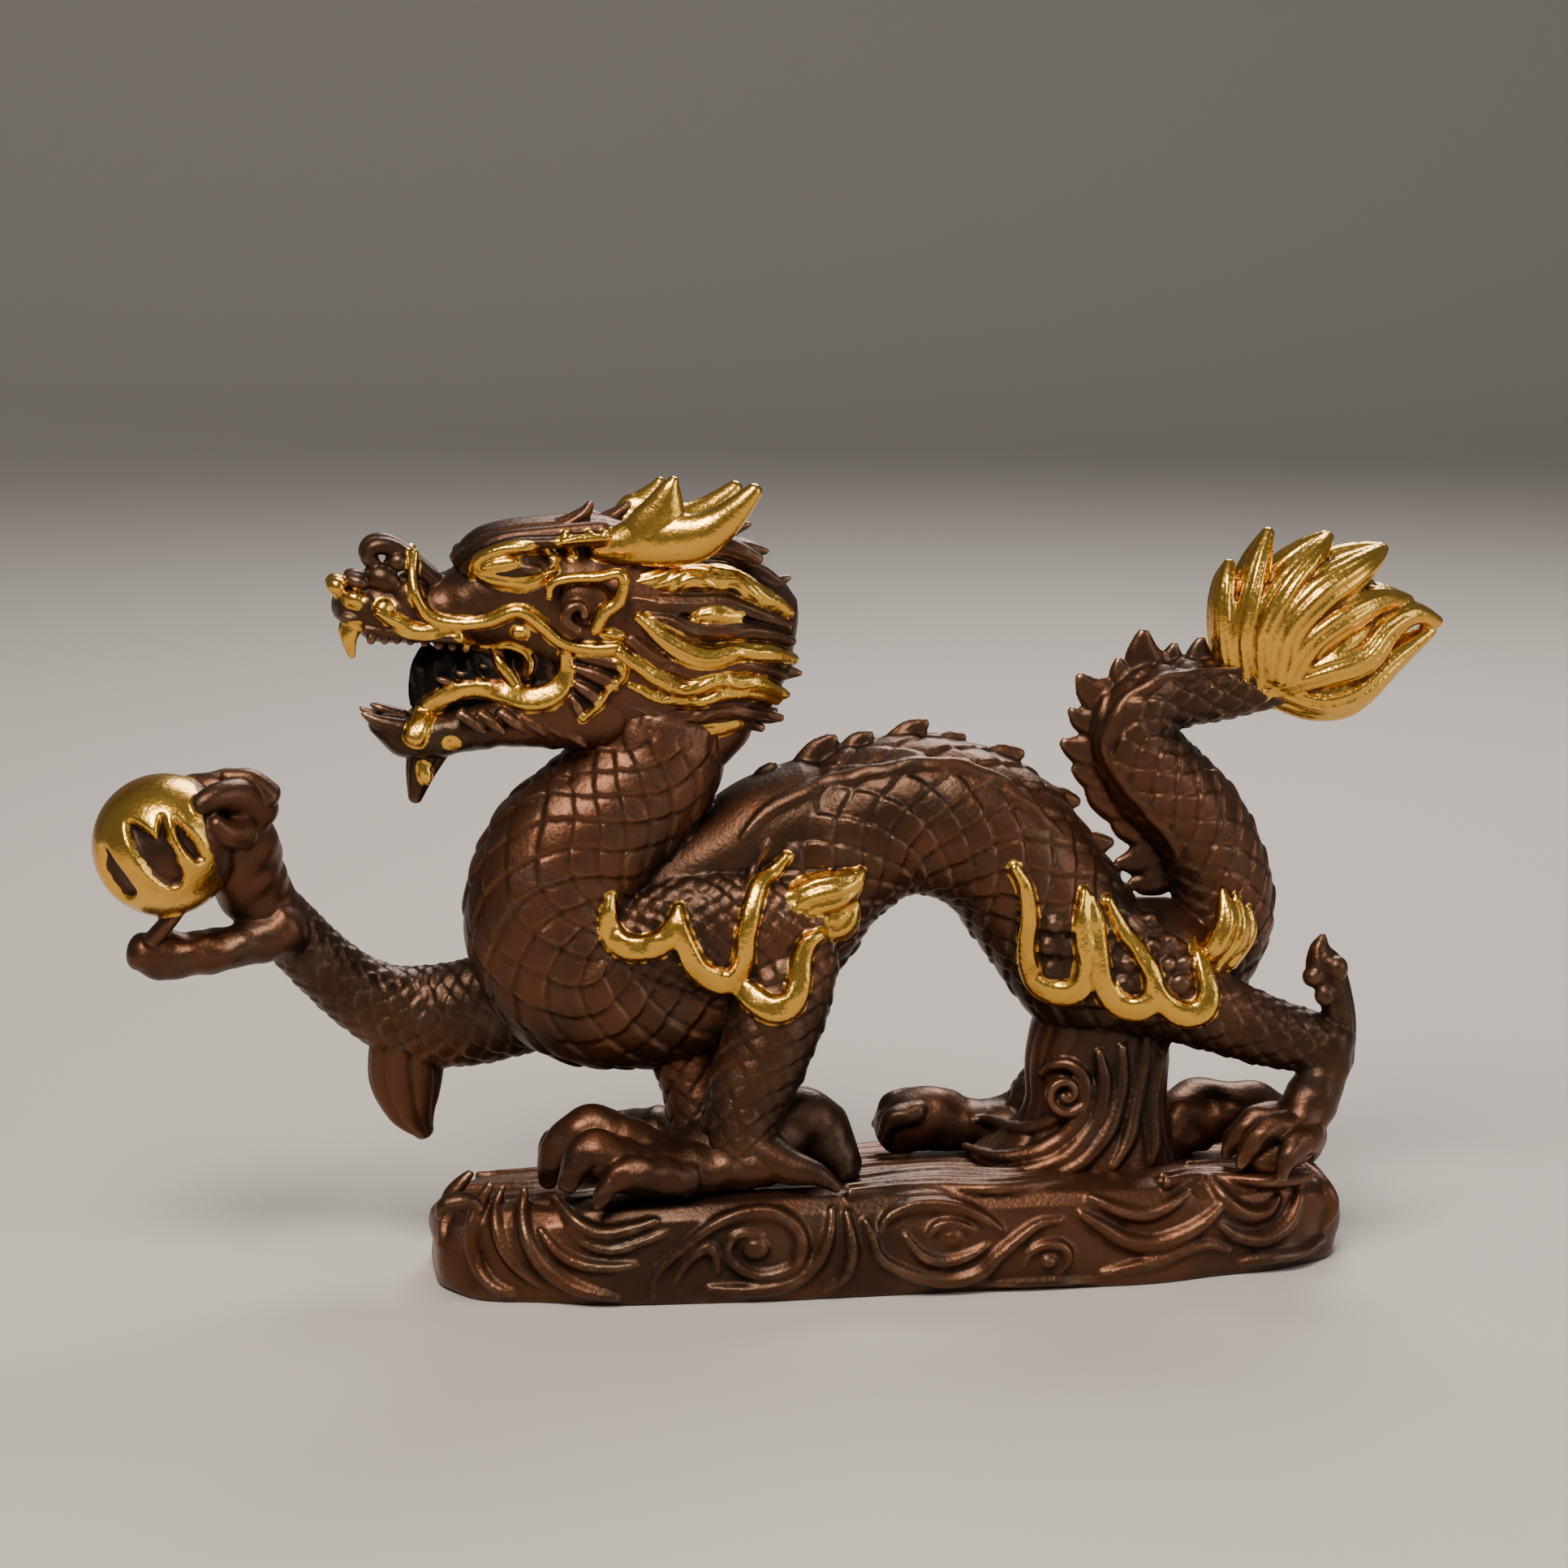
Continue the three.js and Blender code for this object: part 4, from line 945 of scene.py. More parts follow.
    def chin(self, piece: Casting) -> None:
        """Lower teeth, goatee and the small tufts under the jaw."""
        piece.both(limb([[-97.5, -3.6, 112.4, 2.0, 1.9], [-101.6, -3.6, 113.6, 1.5, 1.5], [-104.9, -3.4, 115.4, 0.5, 0.5]], 0.35))
        piece.add(limb([[-97, -1, 114.4, 1.8, 1.4], [-101.4, -1.2, 116.0, 1.4, 1.1], [-103, -1.2, 116.8, 0.5, 0.5]], 0.35),
                  limb([[-91.5, 0, 108.6, 3.4, 4.6], [-93.4, 0, 103.4, 3.0, 3.2], [-94.7, 0, 97.8, 1.6, 1.5]], 0.4,
                       relief=Strands(7, 0.5, 0.2, 9)))
        piece.both(blob((-92.8, -2.6, 103.0), (1.3, 0.9, 2.4), -15, 0.35), blob((-87.7, -6.6, 109.9), (1.5, 1.2, 1.2), 0, 0.35),
                   rub=Rub.BRIGHT)
        for x, z in ((-84.4, 114.4), (-80.6, 114.2), (-76.6, 114.4), (-72.6, 113.6), (-68.6, 112.8), (-64.8, 111.2)):
            piece.both(limb([[x - 1.6, -8.8, z + 1.2, 1.5, 1.3], [x + 0.8, -9.8, z - 0.4, 1.2, 1.1],
                             [x + 2.8, -9.6, z - 2.2, 0.5, 0.5]], 0.4))
        for x, z, l in ((-84, 122.5, 3.2), (-88.5, 121.6, 2.4), (-80, 124, 2.4)):
            piece.both(blob((x, -5.2, z), (l, 1.2, 0.9), 20))

    def bands(self, piece: Casting) -> None:
        """Polished whiskers, lips, jaw bands, eyelids and horn rings, laid on the flesh."""
        for far in (False, True):
            piece.band([[x, z, w * 1.15] for x, z, w in self.whisker if x < -52], 1.3, 0.0, far=far)
            for lip in self.lips:
                piece.band(lip, 1.2, 0.0, far=far)
            piece.band([[x, z, w * 1.2] for x, z, w in self.jaw_band], 1.5, 0.1, far=far, power=3.0)
            piece.band([[-83.2, 142.9, 0.5], [-82.2, 146.2, 0.9], [-78.4, 148.0, 1.0], [-73.6, 148.4, 1.0],
                        [-69.4, 147.8, 0.9], [-67.2, 145.8, 0.5]], 0.9, 0.1, far=far)
            piece.band([[-83.0, 143.6, 0.6], [-79.8, 142.0, 1.2], [-75.0, 141.3, 1.2], [-71.2, 142.2, 1.0],
                        [-67.4, 144.0, 0.5]], 0.9, 0.1, far=far)
            piece.band([[-81.6, 144.8, 0.6], [-78.6, 145.6, 1.1], [-75.6, 145.9, 0.8]], 0.8, 0.1, far=far)
            for x in (-65.2, -60.6, -57.6):
                piece.band([[x - 0.4, 151.0, 0.8], [x + 0.2, 148.6, 1.0], [x + 1.2, 146.2, 0.8]], 1.1, 0.0, far=far)
            piece.band([[-66.4, 149.6, 0.5], [-61.4, 150.2, 0.9], [-57.4, 150.0, 0.5]], 0.7, 0.0, far=far)
            piece.band([[-75.3, 131.8, 1.2], [-73.9, 131.8, 1.2]], 0.9, -0.1, far=far)
            piece.band([[-58.4, 131.6, 0.4], [-56.8, 131.4, 0.9], [-55.2, 131.0, 0.5]], 0.7, 0.0, far=far)
            for lobe in ([[-63.4, 127.2, 0.8], [-59, 126.2, 1.4], [-55.6, 125.2, 1.2], [-54.8, 123.4, 0.5]],
                         [[-63.6, 124.6, 0.8], [-60.2, 123.4, 1.4], [-57.0, 121.6, 1.3], [-56.0, 120.2, 0.5]],
                         [[-63.8, 121.6, 0.8], [-61.6, 120.2, 1.3], [-59.6, 118.2, 1.1], [-59.2, 116.8, 0.5]],
                         [[-64.6, 118.8, 0.7], [-63.6, 117.0, 1.0], [-62.6, 114.4, 0.5]]):
                piece.band(lobe, 1.5, 0.0, Rub.PATINA, far=far)
            piece.band([[-56.0, 127.4, 0.6], [-54.8, 125.4, 0.8], [-55.0, 123.0, 0.7], [-57.6, 120.4, 0.7],
                        [-59.4, 117.6, 0.6], [-62.6, 114.6, 0.5]], 1.3, -0.4, far=far)

    def ears(self, piece: Casting) -> None:
        """Ears: a bright bent rim around a hollow with an inner curl."""
        piece.both(limb(self.ear, 0.4), rub=Rub.BRIGHT)
        piece.both(blob((-61.6, -12.6, 137.6), (5.4, 2.2, 4.6), 20),
                   limb([[-63.6, -14.6, 132.6, 1.2, 1.0], [-65.9, -14.6, 134.4, 1.3, 1.2], [-65.3, -14.8, 136.8, 1.3, 1.2],
                         [-63.0, -14.8, 137.3, 1.2, 1.0], [-62.4, -14.8, 135.4, 1.0, 0.9]], 0.4))

    def horns(self, piece: Casting) -> None:
        """Two forked horns, polished bright; the far one lies a little lower."""
        for sign, drop in ((-1, 0.0), (1, -2.6)):
            piece.add(
                limb([[-58.5, sign * 8, 147.6, 2.8, 2.6], [-55, sign * 8.6, 148.2, 3.3, 4.0],
                      [-50.5, sign * 9.4, 149.0, 3.6, 5.0], [-45, sign * 10.6, 149.3, 3.7, 5.2],
                      [-40, sign * 11.8, 150 + drop * 0.3, 3.5, 4.8], [-35.6, sign * 12.6, 152.4 + drop * 0.5, 3.0, 3.7],
                      [-31.8, sign * 13.4, 156 + drop * 0.8, 2.4, 2.6], [-29, sign * 13.8, 159 + drop, 1.7, 1.7]],
                     0.4, ends=0.9),
                limb([[-48.2, sign * 9.8, 149, 3.6, 6.8], [-47.4, sign * 10, 152, 3.4, 6.2],
                      [-46.2, sign * 10.4, 155.6 + drop * 0.5, 2.9, 4.3], [-45.1, sign * 10.8, 159.3 + drop, 2.0, 2.3],
                      [-44.4, sign * 11, 161.0 + drop, 1.2, 1.1]], 0.4, ends=0.8), rub=Rub.BRIGHT)


@dataclass
class Mane:
    """Mass of hair behind the cheeks with long wind-blown locks."""

    mass: Rows = field(default_factory=lambda: [
        [-58, 0, 128, 12.6, 15.6], [-46, 0, 127.6, 13.6, 17.8], [-36, 0, 127, 13, 18.4], [-28, 0, 125.8, 11, 16.6],
        [-23, 0, 124.5, 7.6, 13]])
    bright: Sequence[Rows] = field(default_factory=lambda: [
        [[-52.5, 140.6, 1.8], [-45.5, 141.3, 2.4], [-38.5, 141.5, 2.5], [-32.8, 140.8, 2.2], [-27.1, 137.6, 1.7],
         [-21.2, 134.0, 0.9]],
        [[-51.8, 134.8, 1.0], [-46.3, 130.3, 1.8], [-41.9, 127.4, 2.1], [-36.8, 126.6, 1.9], [-31.1, 127.7, 1.6],
         [-25.9, 126.8, 1.6], [-20.4, 124.6, 1.0]],
        [[-55.6, 128.0, 1.1], [-52.0, 125.4, 1.3], [-47.5, 122.4, 1.5], [-43.1, 121.0, 1.6], [-38.0, 121.4, 1.5],
         [-32.9, 122.0, 1.6], [-27.7, 120.6, 1.5], [-22.2, 117.6, 1.0]],
        [[-53.4, 121.6, 0.8], [-47.7, 119.0, 1.2], [-41.3, 118.0, 1.3], [-35.6, 118.9, 1.2], [-30.4, 119.2, 1.2],
         [-23.6, 116.4, 0.8]],
        [[-64.0, 111.6, 0.9], [-57.6, 109.6, 1.5], [-51.2, 109.0, 1.8], [-45.4, 110.1, 1.8], [-39.7, 111.0, 1.6],
         [-32.0, 112.2, 1.0]],
        [[-40.9, 134.4, 0.6], [-38.6, 134.9, 1.1], [-35.6, 134.7, 1.2], [-31.6, 134.0, 0.6]],
    ])
    dark: Sequence[Rows] = field(default_factory=lambda: [
        [[-53.6, 146.0, 1.8], [-44, 146.6, 2.2], [-36.1, 145.6, 2.3], [-29.7, 143.6, 2.0], [-23.0, 139.8, 1.0]],
        [[-50, 149.6, 1.8], [-42, 149.6, 2.2], [-34, 148.2, 2.0], [-27.6, 145.2, 1.0]],
        [[-53.2, 137.8, 1.5], [-47.5, 137.0, 1.9], [-41.2, 136.6, 2.0], [-34.8, 136.4, 2.0], [-28.4, 134.6, 1.7],
         [-21.4, 131.4, 1.0]],
        [[-51.0, 134.4, 1.4], [-46.0, 133.6, 1.8], [-40.2, 131.8, 1.9], [-33.8, 131.6, 1.9], [-27.4, 130.8, 1.6],
         [-20.4, 128.2, 1.0]],
        [[-53.4, 130.4, 1.5], [-48.4, 126.4, 2.0], [-42.2, 124.0, 2.0], [-36.8, 124.0, 1.7], [-30, 124.6, 1.6],
         [-22.0, 121.4, 1.0]],
        [[-55.2, 118.6, 1.3], [-48.8, 115.8, 1.6], [-41.8, 114.6, 1.8], [-34.8, 115.4, 1.7], [-28.4, 114.4, 1.5],
         [-22.4, 112.6, 0.9]],
        [[-56.8, 115.0, 1.3], [-48.8, 112.6, 1.6], [-41.2, 112.4, 1.8], [-33.5, 112.8, 1.6], [-26.2, 110.6, 1.0]],
        [[-60.8, 113.2, 1.1], [-53, 111.0, 1.5], [-46, 111.6, 1.5], [-38, 113.6, 1.3], [-31, 113.6, 0.8]],
    ])

    def build(self) -> Casting:
        """Shapes the mane: dark locks first, bright ones over them."""
        piece = Casting("mane", 0.36, 95000)
        piece.add(limb(self.mass, 0.6, power=2.3, ends=0.4, relief=Strands(46, 0.8, 1.0, 11)))
        piece.add(limb([[-34, 0, 112, 8, 7], [-40, 0, 106, 10, 7]], 0.8))
        piece.set_ground()
        for far in (False, True):
            for k, path in enumerate(self.dark):
                piece.band(path, 1.9, 0.1, Rub.PATINA, -11, far, Strands(7, 0.5, 0.4, 9, 0.7 * k), 2.0)
            for k, path in enumerate(self.bright):
                piece.band([[x, z, w * 1.22] for x, z, w in path], 2.4, -0.3, Rub.BRIGHT, -11, far,
                           Strands(8, 0.65, 0.35, 11, 0.9 * k), 2.0)
        for x, y, z, dx, dz, r in ((-24, 4, 138, 4.4, 2.4, 2.4), (-23.6, 2, 133.4, 4.4, 1.0, 2.6), (-22.8, 4, 128, 3.8, 0.0, 2.6),
                                   (-22.6, -3, 122, 4.2, -1.2, 2.6), (-23.4, 2, 117, 3.4, -1.4, 2.4),
                                   (-24.6, 0, 112.6, 2.6, -1.6, 2.4), (-29, 0, 146, 4.4, -1.0, 2.6), (-32, 5, 149.4, 4.6, 1.2, 2.6)):
            piece.add(limb([[x - dx * 1.6, y, z - dz, r, r], [x, y, z, r * 0.9, r * 0.8], [x + dx, y, z + dz * 0.6, 0.7, 0.7]],
                           0.45, relief=Strands(6, 0.5, 0.3, 8)))
        return piece


# ---------------------------------------------------------------- limbs
@dataclass
class RaisedArm:
    """Right foreleg, raised forward, with the ball held in its claws."""

    ball: Sequence[float] = (-144.0, -1.0, 89.9)
    ball_radius: float = 13.7
    scales: Scales = Scales(pitch=2.5, columns=10, lift=0.8, point=1.8, groove=0.35)

    def build(self) -> Casting:
        """Shapes the arm and its hand."""
        piece = Casting("raised_arm", 0.4, 70000)
        piece.add(limb([[-72, 8, 55, 8, 11], [-84, 12, 51, 7.6, 10.6], [-94, 13.6, 50.6, 7.2, 9.8],
                        [-104.5, 13, 54.8, 6.5, 7.5], [-114, 11, 63.2, 5.9, 6.3], [-120.4, 9, 70.8, 5.9, 6.2]], 0.5,
                       relief=self.scales))
        skin = Knots(0.35, 9)
        piece.add(limb([[-117, 10, 67, 5.7, 5.9], [-122.6, 8, 73.4, 6.0, 6.4], [-127.4, 5.4, 81, 7.0, 7.6],
                        [-129.6, 2.4, 89.6, 7.8, 7.9], [-131, 0, 96.2, 6.9, 6.3]], 0.5, relief=skin),
                  limb([[-121, 5, 71, 6, 6], [-130, 2.6, 68.6, 5.6, 4.4], [-139, 0.6, 67.5, 5, 4.5],
                        [-145.4, -0.4, 67.8, 4.6, 4.9], [-149, -0.8, 68.6, 3.6, 4.0]], 0.5, relief=skin),
                  limb([[-146.6, -3, 71.6, 2.4, 1.8], [-143, -5, 76.0, 2.2, 1.6], [-139.8, -5, 79.4, 1.2, 1.0]], 0.45))
        piece.add(limb([[-125.4, 3, 97.4, 4.6, 5], [-131.4, 2.4, 100.6, 4.2, 3.4], [-138, 1.6, 101.0, 3.2, 2.2],
                        [-143.6, 0.6, 99.4, 1.6, 1.4]], 0.45, relief=skin),
                  limb([[-126, 0, 96.4, 4.6, 4.8], [-128.4, -3.4, 99.2, 4.0, 3.6], [-132.6, -6.8, 100.4, 3.0, 2.9],
                        [-136.4, -9.0, 99.2, 2.4, 2.4], [-137.8, -9.8, 97.2, 1.4, 1.5]], 0.4, side=(0, 0, 1)),
                  limb([[-129, -5, 92.6, 3.4, 3.6], [-132.0, -8.2, 93.4, 2.6, 2.8], [-134.2, -9.8, 95.6, 1.9, 2.0]], 0.4,
                       side=(0, 0, 1)),
                  limb([[-123.4, -1, 99.4, 3.6, 2.6], [-127, -2, 103.0, 2.4, 1.8], [-132, -2.4, 103.6, 1.4, 1.2]], 0.4))
        piece.add(limb([[-96.6, 13, 44, 4.8, 7.6], [-96.6, 13.4, 37.4, 5.0, 7.6], [-95.4, 13, 31, 4.0, 5.4],
                        [-93.2, 12.8, 26.4, 2.0, 2.2]], 0.45, relief=Strands(8, 0.9, 0.3, 8)))
        self.hold_ball(piece)
        return piece

    def hold_ball(self, piece: Casting) -> None:
        """The polished ball, cut by two S-shaped comma hollows."""
        x, y, z = self.ball
        r = self.ball_radius
        count = 150
        theta = np.linspace(0, np.pi, count // 2 + 2)[1:-1, None]
        phi = np.linspace(0, 2 * np.pi, count, endpoint=False)[None, :]
        across = np.sin(theta) * np.sin(phi)
        up = np.cos(theta) + 0 * phi
        out = -np.sin(theta) * np.cos(phi)
        hollow = np.zeros_like(across)
        for comma in ([(-0.46, 0.27, 0.05), (-0.36, 0.13, 0.13), (-0.2, -0.08, 0.19), (-0.03, -0.3, 0.21),
                       (0.1, -0.46, 0.17), (0.12, -0.5, 0.12)],
                      [(-0.02, 0.38, 0.02), (-0.02, 0.2, 0.06), (0.0, 0.0, 0.1), (0.04, -0.2, 0.14)],
                      [(-0.84, -0.12, 0.03), (-0.78, -0.32, 0.09), (-0.68, -0.52, 0.13), (-0.54, -0.72, 0.12)],
                      [(0.18, 0.34, 0.02), (0.26, 0.16, 0.07), (0.38, -0.02, 0.09), (0.48, -0.2, 0.05)]):
            line, _ = evenly([[a, 0, b, c] for a, b, c in comma], 0.03)
            gap = np.full_like(across, 9.0)
            for a, _, b, c in line:
                gap = np.minimum(gap, np.hypot(across - a, up - b - 0.18) - c)
            hollow = np.maximum(hollow, 1.0 - smooth(-0.05, 0.05, gap))
        radius = r + 0.35 - 1.9 * hollow
        grid = np.stack([x + radius * across, y - radius * out, z + radius * up], -1)
        shape = rings_to_surface(grid, np.array([[x, y, z + r], [x, y, z - r]]))
        # painted shade: only the ball's side towards the key light is polished; the side turned away stays dark patina
        shade = np.concatenate([(hollow < 0.35).ravel() & ((across + 0.25 * up) < 0.62).ravel(), [True, True]])
        shape.polished_and_lit = shade
        piece.add(shape, rub=Rub.BRIGHT)


@dataclass
class Foreleg:
    """Left foreleg planted on the plinth, with its shoulder, flame borders and paw."""

    scales: Scales = Scales(pitch=2.7, columns=9, lift=0.8, point=1.6, groove=0.35)

    def add_to(self, piece: Casting) -> None:
        """Lays the shoulder and leg over the body."""
        piece.add(limb([[-52, -7, 66, 7.6, 11.4], [-40, -9.6, 69.6, 8.4, 13], [-27, -12, 70.4, 7.2, 12], [-17.6, -14, 71.6, 5.4, 9.2]],
                       0.5, relief=Scales(2.2, 17, 0.9, 2.0, 0.0, 0.35, 1.2, 0.9)),
                  limb([[-20.4, -14.3, 67, 5.6, 8.2], [-24, -15.3, 57, 6.8, 9.3], [-27.6, -16, 47, 7.2, 8.8],
                        [-31.4, -16.8, 38, 7, 7.9], [-33.4, -17.4, 29, 7.4, 7.4]], 0.5, relief=self.scales),
                  limb([[-42, -2, 50, 6, 9.4], [-39.8, -4, 38, 6, 6.6], [-38.6, -6, 26, 7, 7]], 0.6,
                       relief=Scales(2.7, 8, 0.6, 1.5)))

    def paw(self, piece: Casting) -> None:
        """Paw with three long toes, the heel and the far toe."""
        skin = Knots(0.3, 8)
        piece.add(limb([[-28, -18, 26, 7.6, 5.2], [-40, -19, 25.6, 7.6, 5.6], [-52, -20, 25.2, 6.8, 5.2],
                        [-58, -20.6, 27.6, 5.4, 5.0], [-62, -21, 30.0, 4.6, 4.6], [-65.6, -21.6, 27.2, 3.6, 3.4],
                        [-67.4, -22, 23.6, 2.0, 2.0]], 0.5, relief=skin),
                  limb([[-34, -16, 31, 7, 6], [-46, -14, 26.4, 7, 5], [-55, -12.6, 29.4, 5.8, 5.2], [-61.6, -12, 32.0, 5.0, 5.0],
                        [-66.6, -12, 29.4, 4.6, 4.4], [-69.6, -12, 25.2, 3.4, 3.2], [-70.2, -12, 21.6, 1.8, 1.8]], 0.5, relief=skin),
                  limb([[-44, -24.6, 24.6, 3.4, 3.8], [-51, -26.4, 26.4, 3.2, 3.4], [-56, -27, 27.0, 2.8, 3.0],
                        [-60.4, -27.2, 24.0, 2.2, 2.2], [-62.0, -27.2, 20.6, 1.0, 1.0]], 0.45, relief=skin),
                  limb([[-30, -19, 29, 6, 5], [-24, -22.6, 26.0, 4.0, 3.8], [-18.4, -24.6, 24.6, 2.4, 2.4],
                        [-14.4, -25, 21.8, 1.2, 1.2]], 0.45),
                  limb([[-26, -12, 28, 7, 7], [-19.4, -10.6, 32.6, 6.2, 6.2], [-14.8, -10, 28.8, 6, 6],
                        [-10.8, -10, 22, 6.6, 4]], 0.5, relief=skin),
                  limb([[-66, 12, 21, 5, 5], [-56, 9, 24, 6, 5.4], [-46, 4, 26, 7, 6]], 0.6, relief=skin))

    def borders(self, piece: Casting) -> None:
        """Bright flame borders and the elbow's bright tuft."""
        loops = [
            [[-57.6, 79.4, 0.5], [-58.2, 75.6, 1.2], [-57.4, 72.0, 1.7], [-54.6, 69.6, 1.9], [-51.2, 69.4, 1.8],
             [-47.6, 70.8, 1.8], [-45.6, 73.6, 1.2], [-44.2, 77.4, 0.5]],
            [[-44.6, 76.6, 0.6], [-43.6, 71.6, 1.4], [-41.6, 66.6, 1.7], [-38.8, 63.8, 1.9], [-35.6, 62.7, 2.0],
             [-33.2, 64.0, 1.7], [-32.0, 67.6, 1.4], [-31.6, 72.2, 1.3], [-30.4, 76.4, 1.3], [-28.4, 81.0, 1.1],
             [-24.8, 83.8, 0.9], [-22.4, 86.6, 0.4]],
            [[-34.2, 62.9, 0.9], [-31.4, 60.6, 1.7], [-28.2, 58.2, 1.9], [-25.4, 57.7, 2.0], [-22.8, 59.2, 1.9],
             [-21.2, 63.1, 1.6], [-20.7, 67.3, 1.4], [-19.2, 70.6, 1.2], [-16.6, 71.9, 0.6]],
        ]
        for path in loops:
            piece.band([[x, z, 0.35 + w * 1.15] for x, z, w in path], 1.8, -0.1, fallback=-18, power=3.2)
            piece.band([[x, z, w * 0.8] for x, z, w in path], 0.9, 0.1, far=True, fallback=-14)
        for x, z, w in ((-29.2, 83.6, 1.0), (-27.6, 86.8, 0.7)):
            piece.band([[x - 1.5, z - 4, w], [x, z, w], [x + 1.6, z + 2.6, 0.4]], 0.9, 0.0, Rub.PATINA)
        piece.add(limb([[-22.4, -14.4, 75.6, 3.2, 3.4], [-18.4, -15.6, 78.0, 3.6, 4.6], [-13.4, -16, 79.6, 3.3, 4.6],
                        [-9.6, -15.8, 81.6, 2.0, 2.8], [-7.8, -15.4, 83.4, 0.8, 1.0]], 0.4,
                       relief=Strands(9, 0.9, 0.9, 4)), rub=Rub.BRIGHT)
        piece.add(limb([[-17.6, -15.2, 74.0, 2.8, 3.2], [-12.6, -15.6, 73.6, 2.6, 4.2], [-9.6, -15.4, 77.2, 1.4, 1.8]], 0.4,
                       relief=Strands(7, 0.8, 0.9, 4)), rub=Rub.BRIGHT)


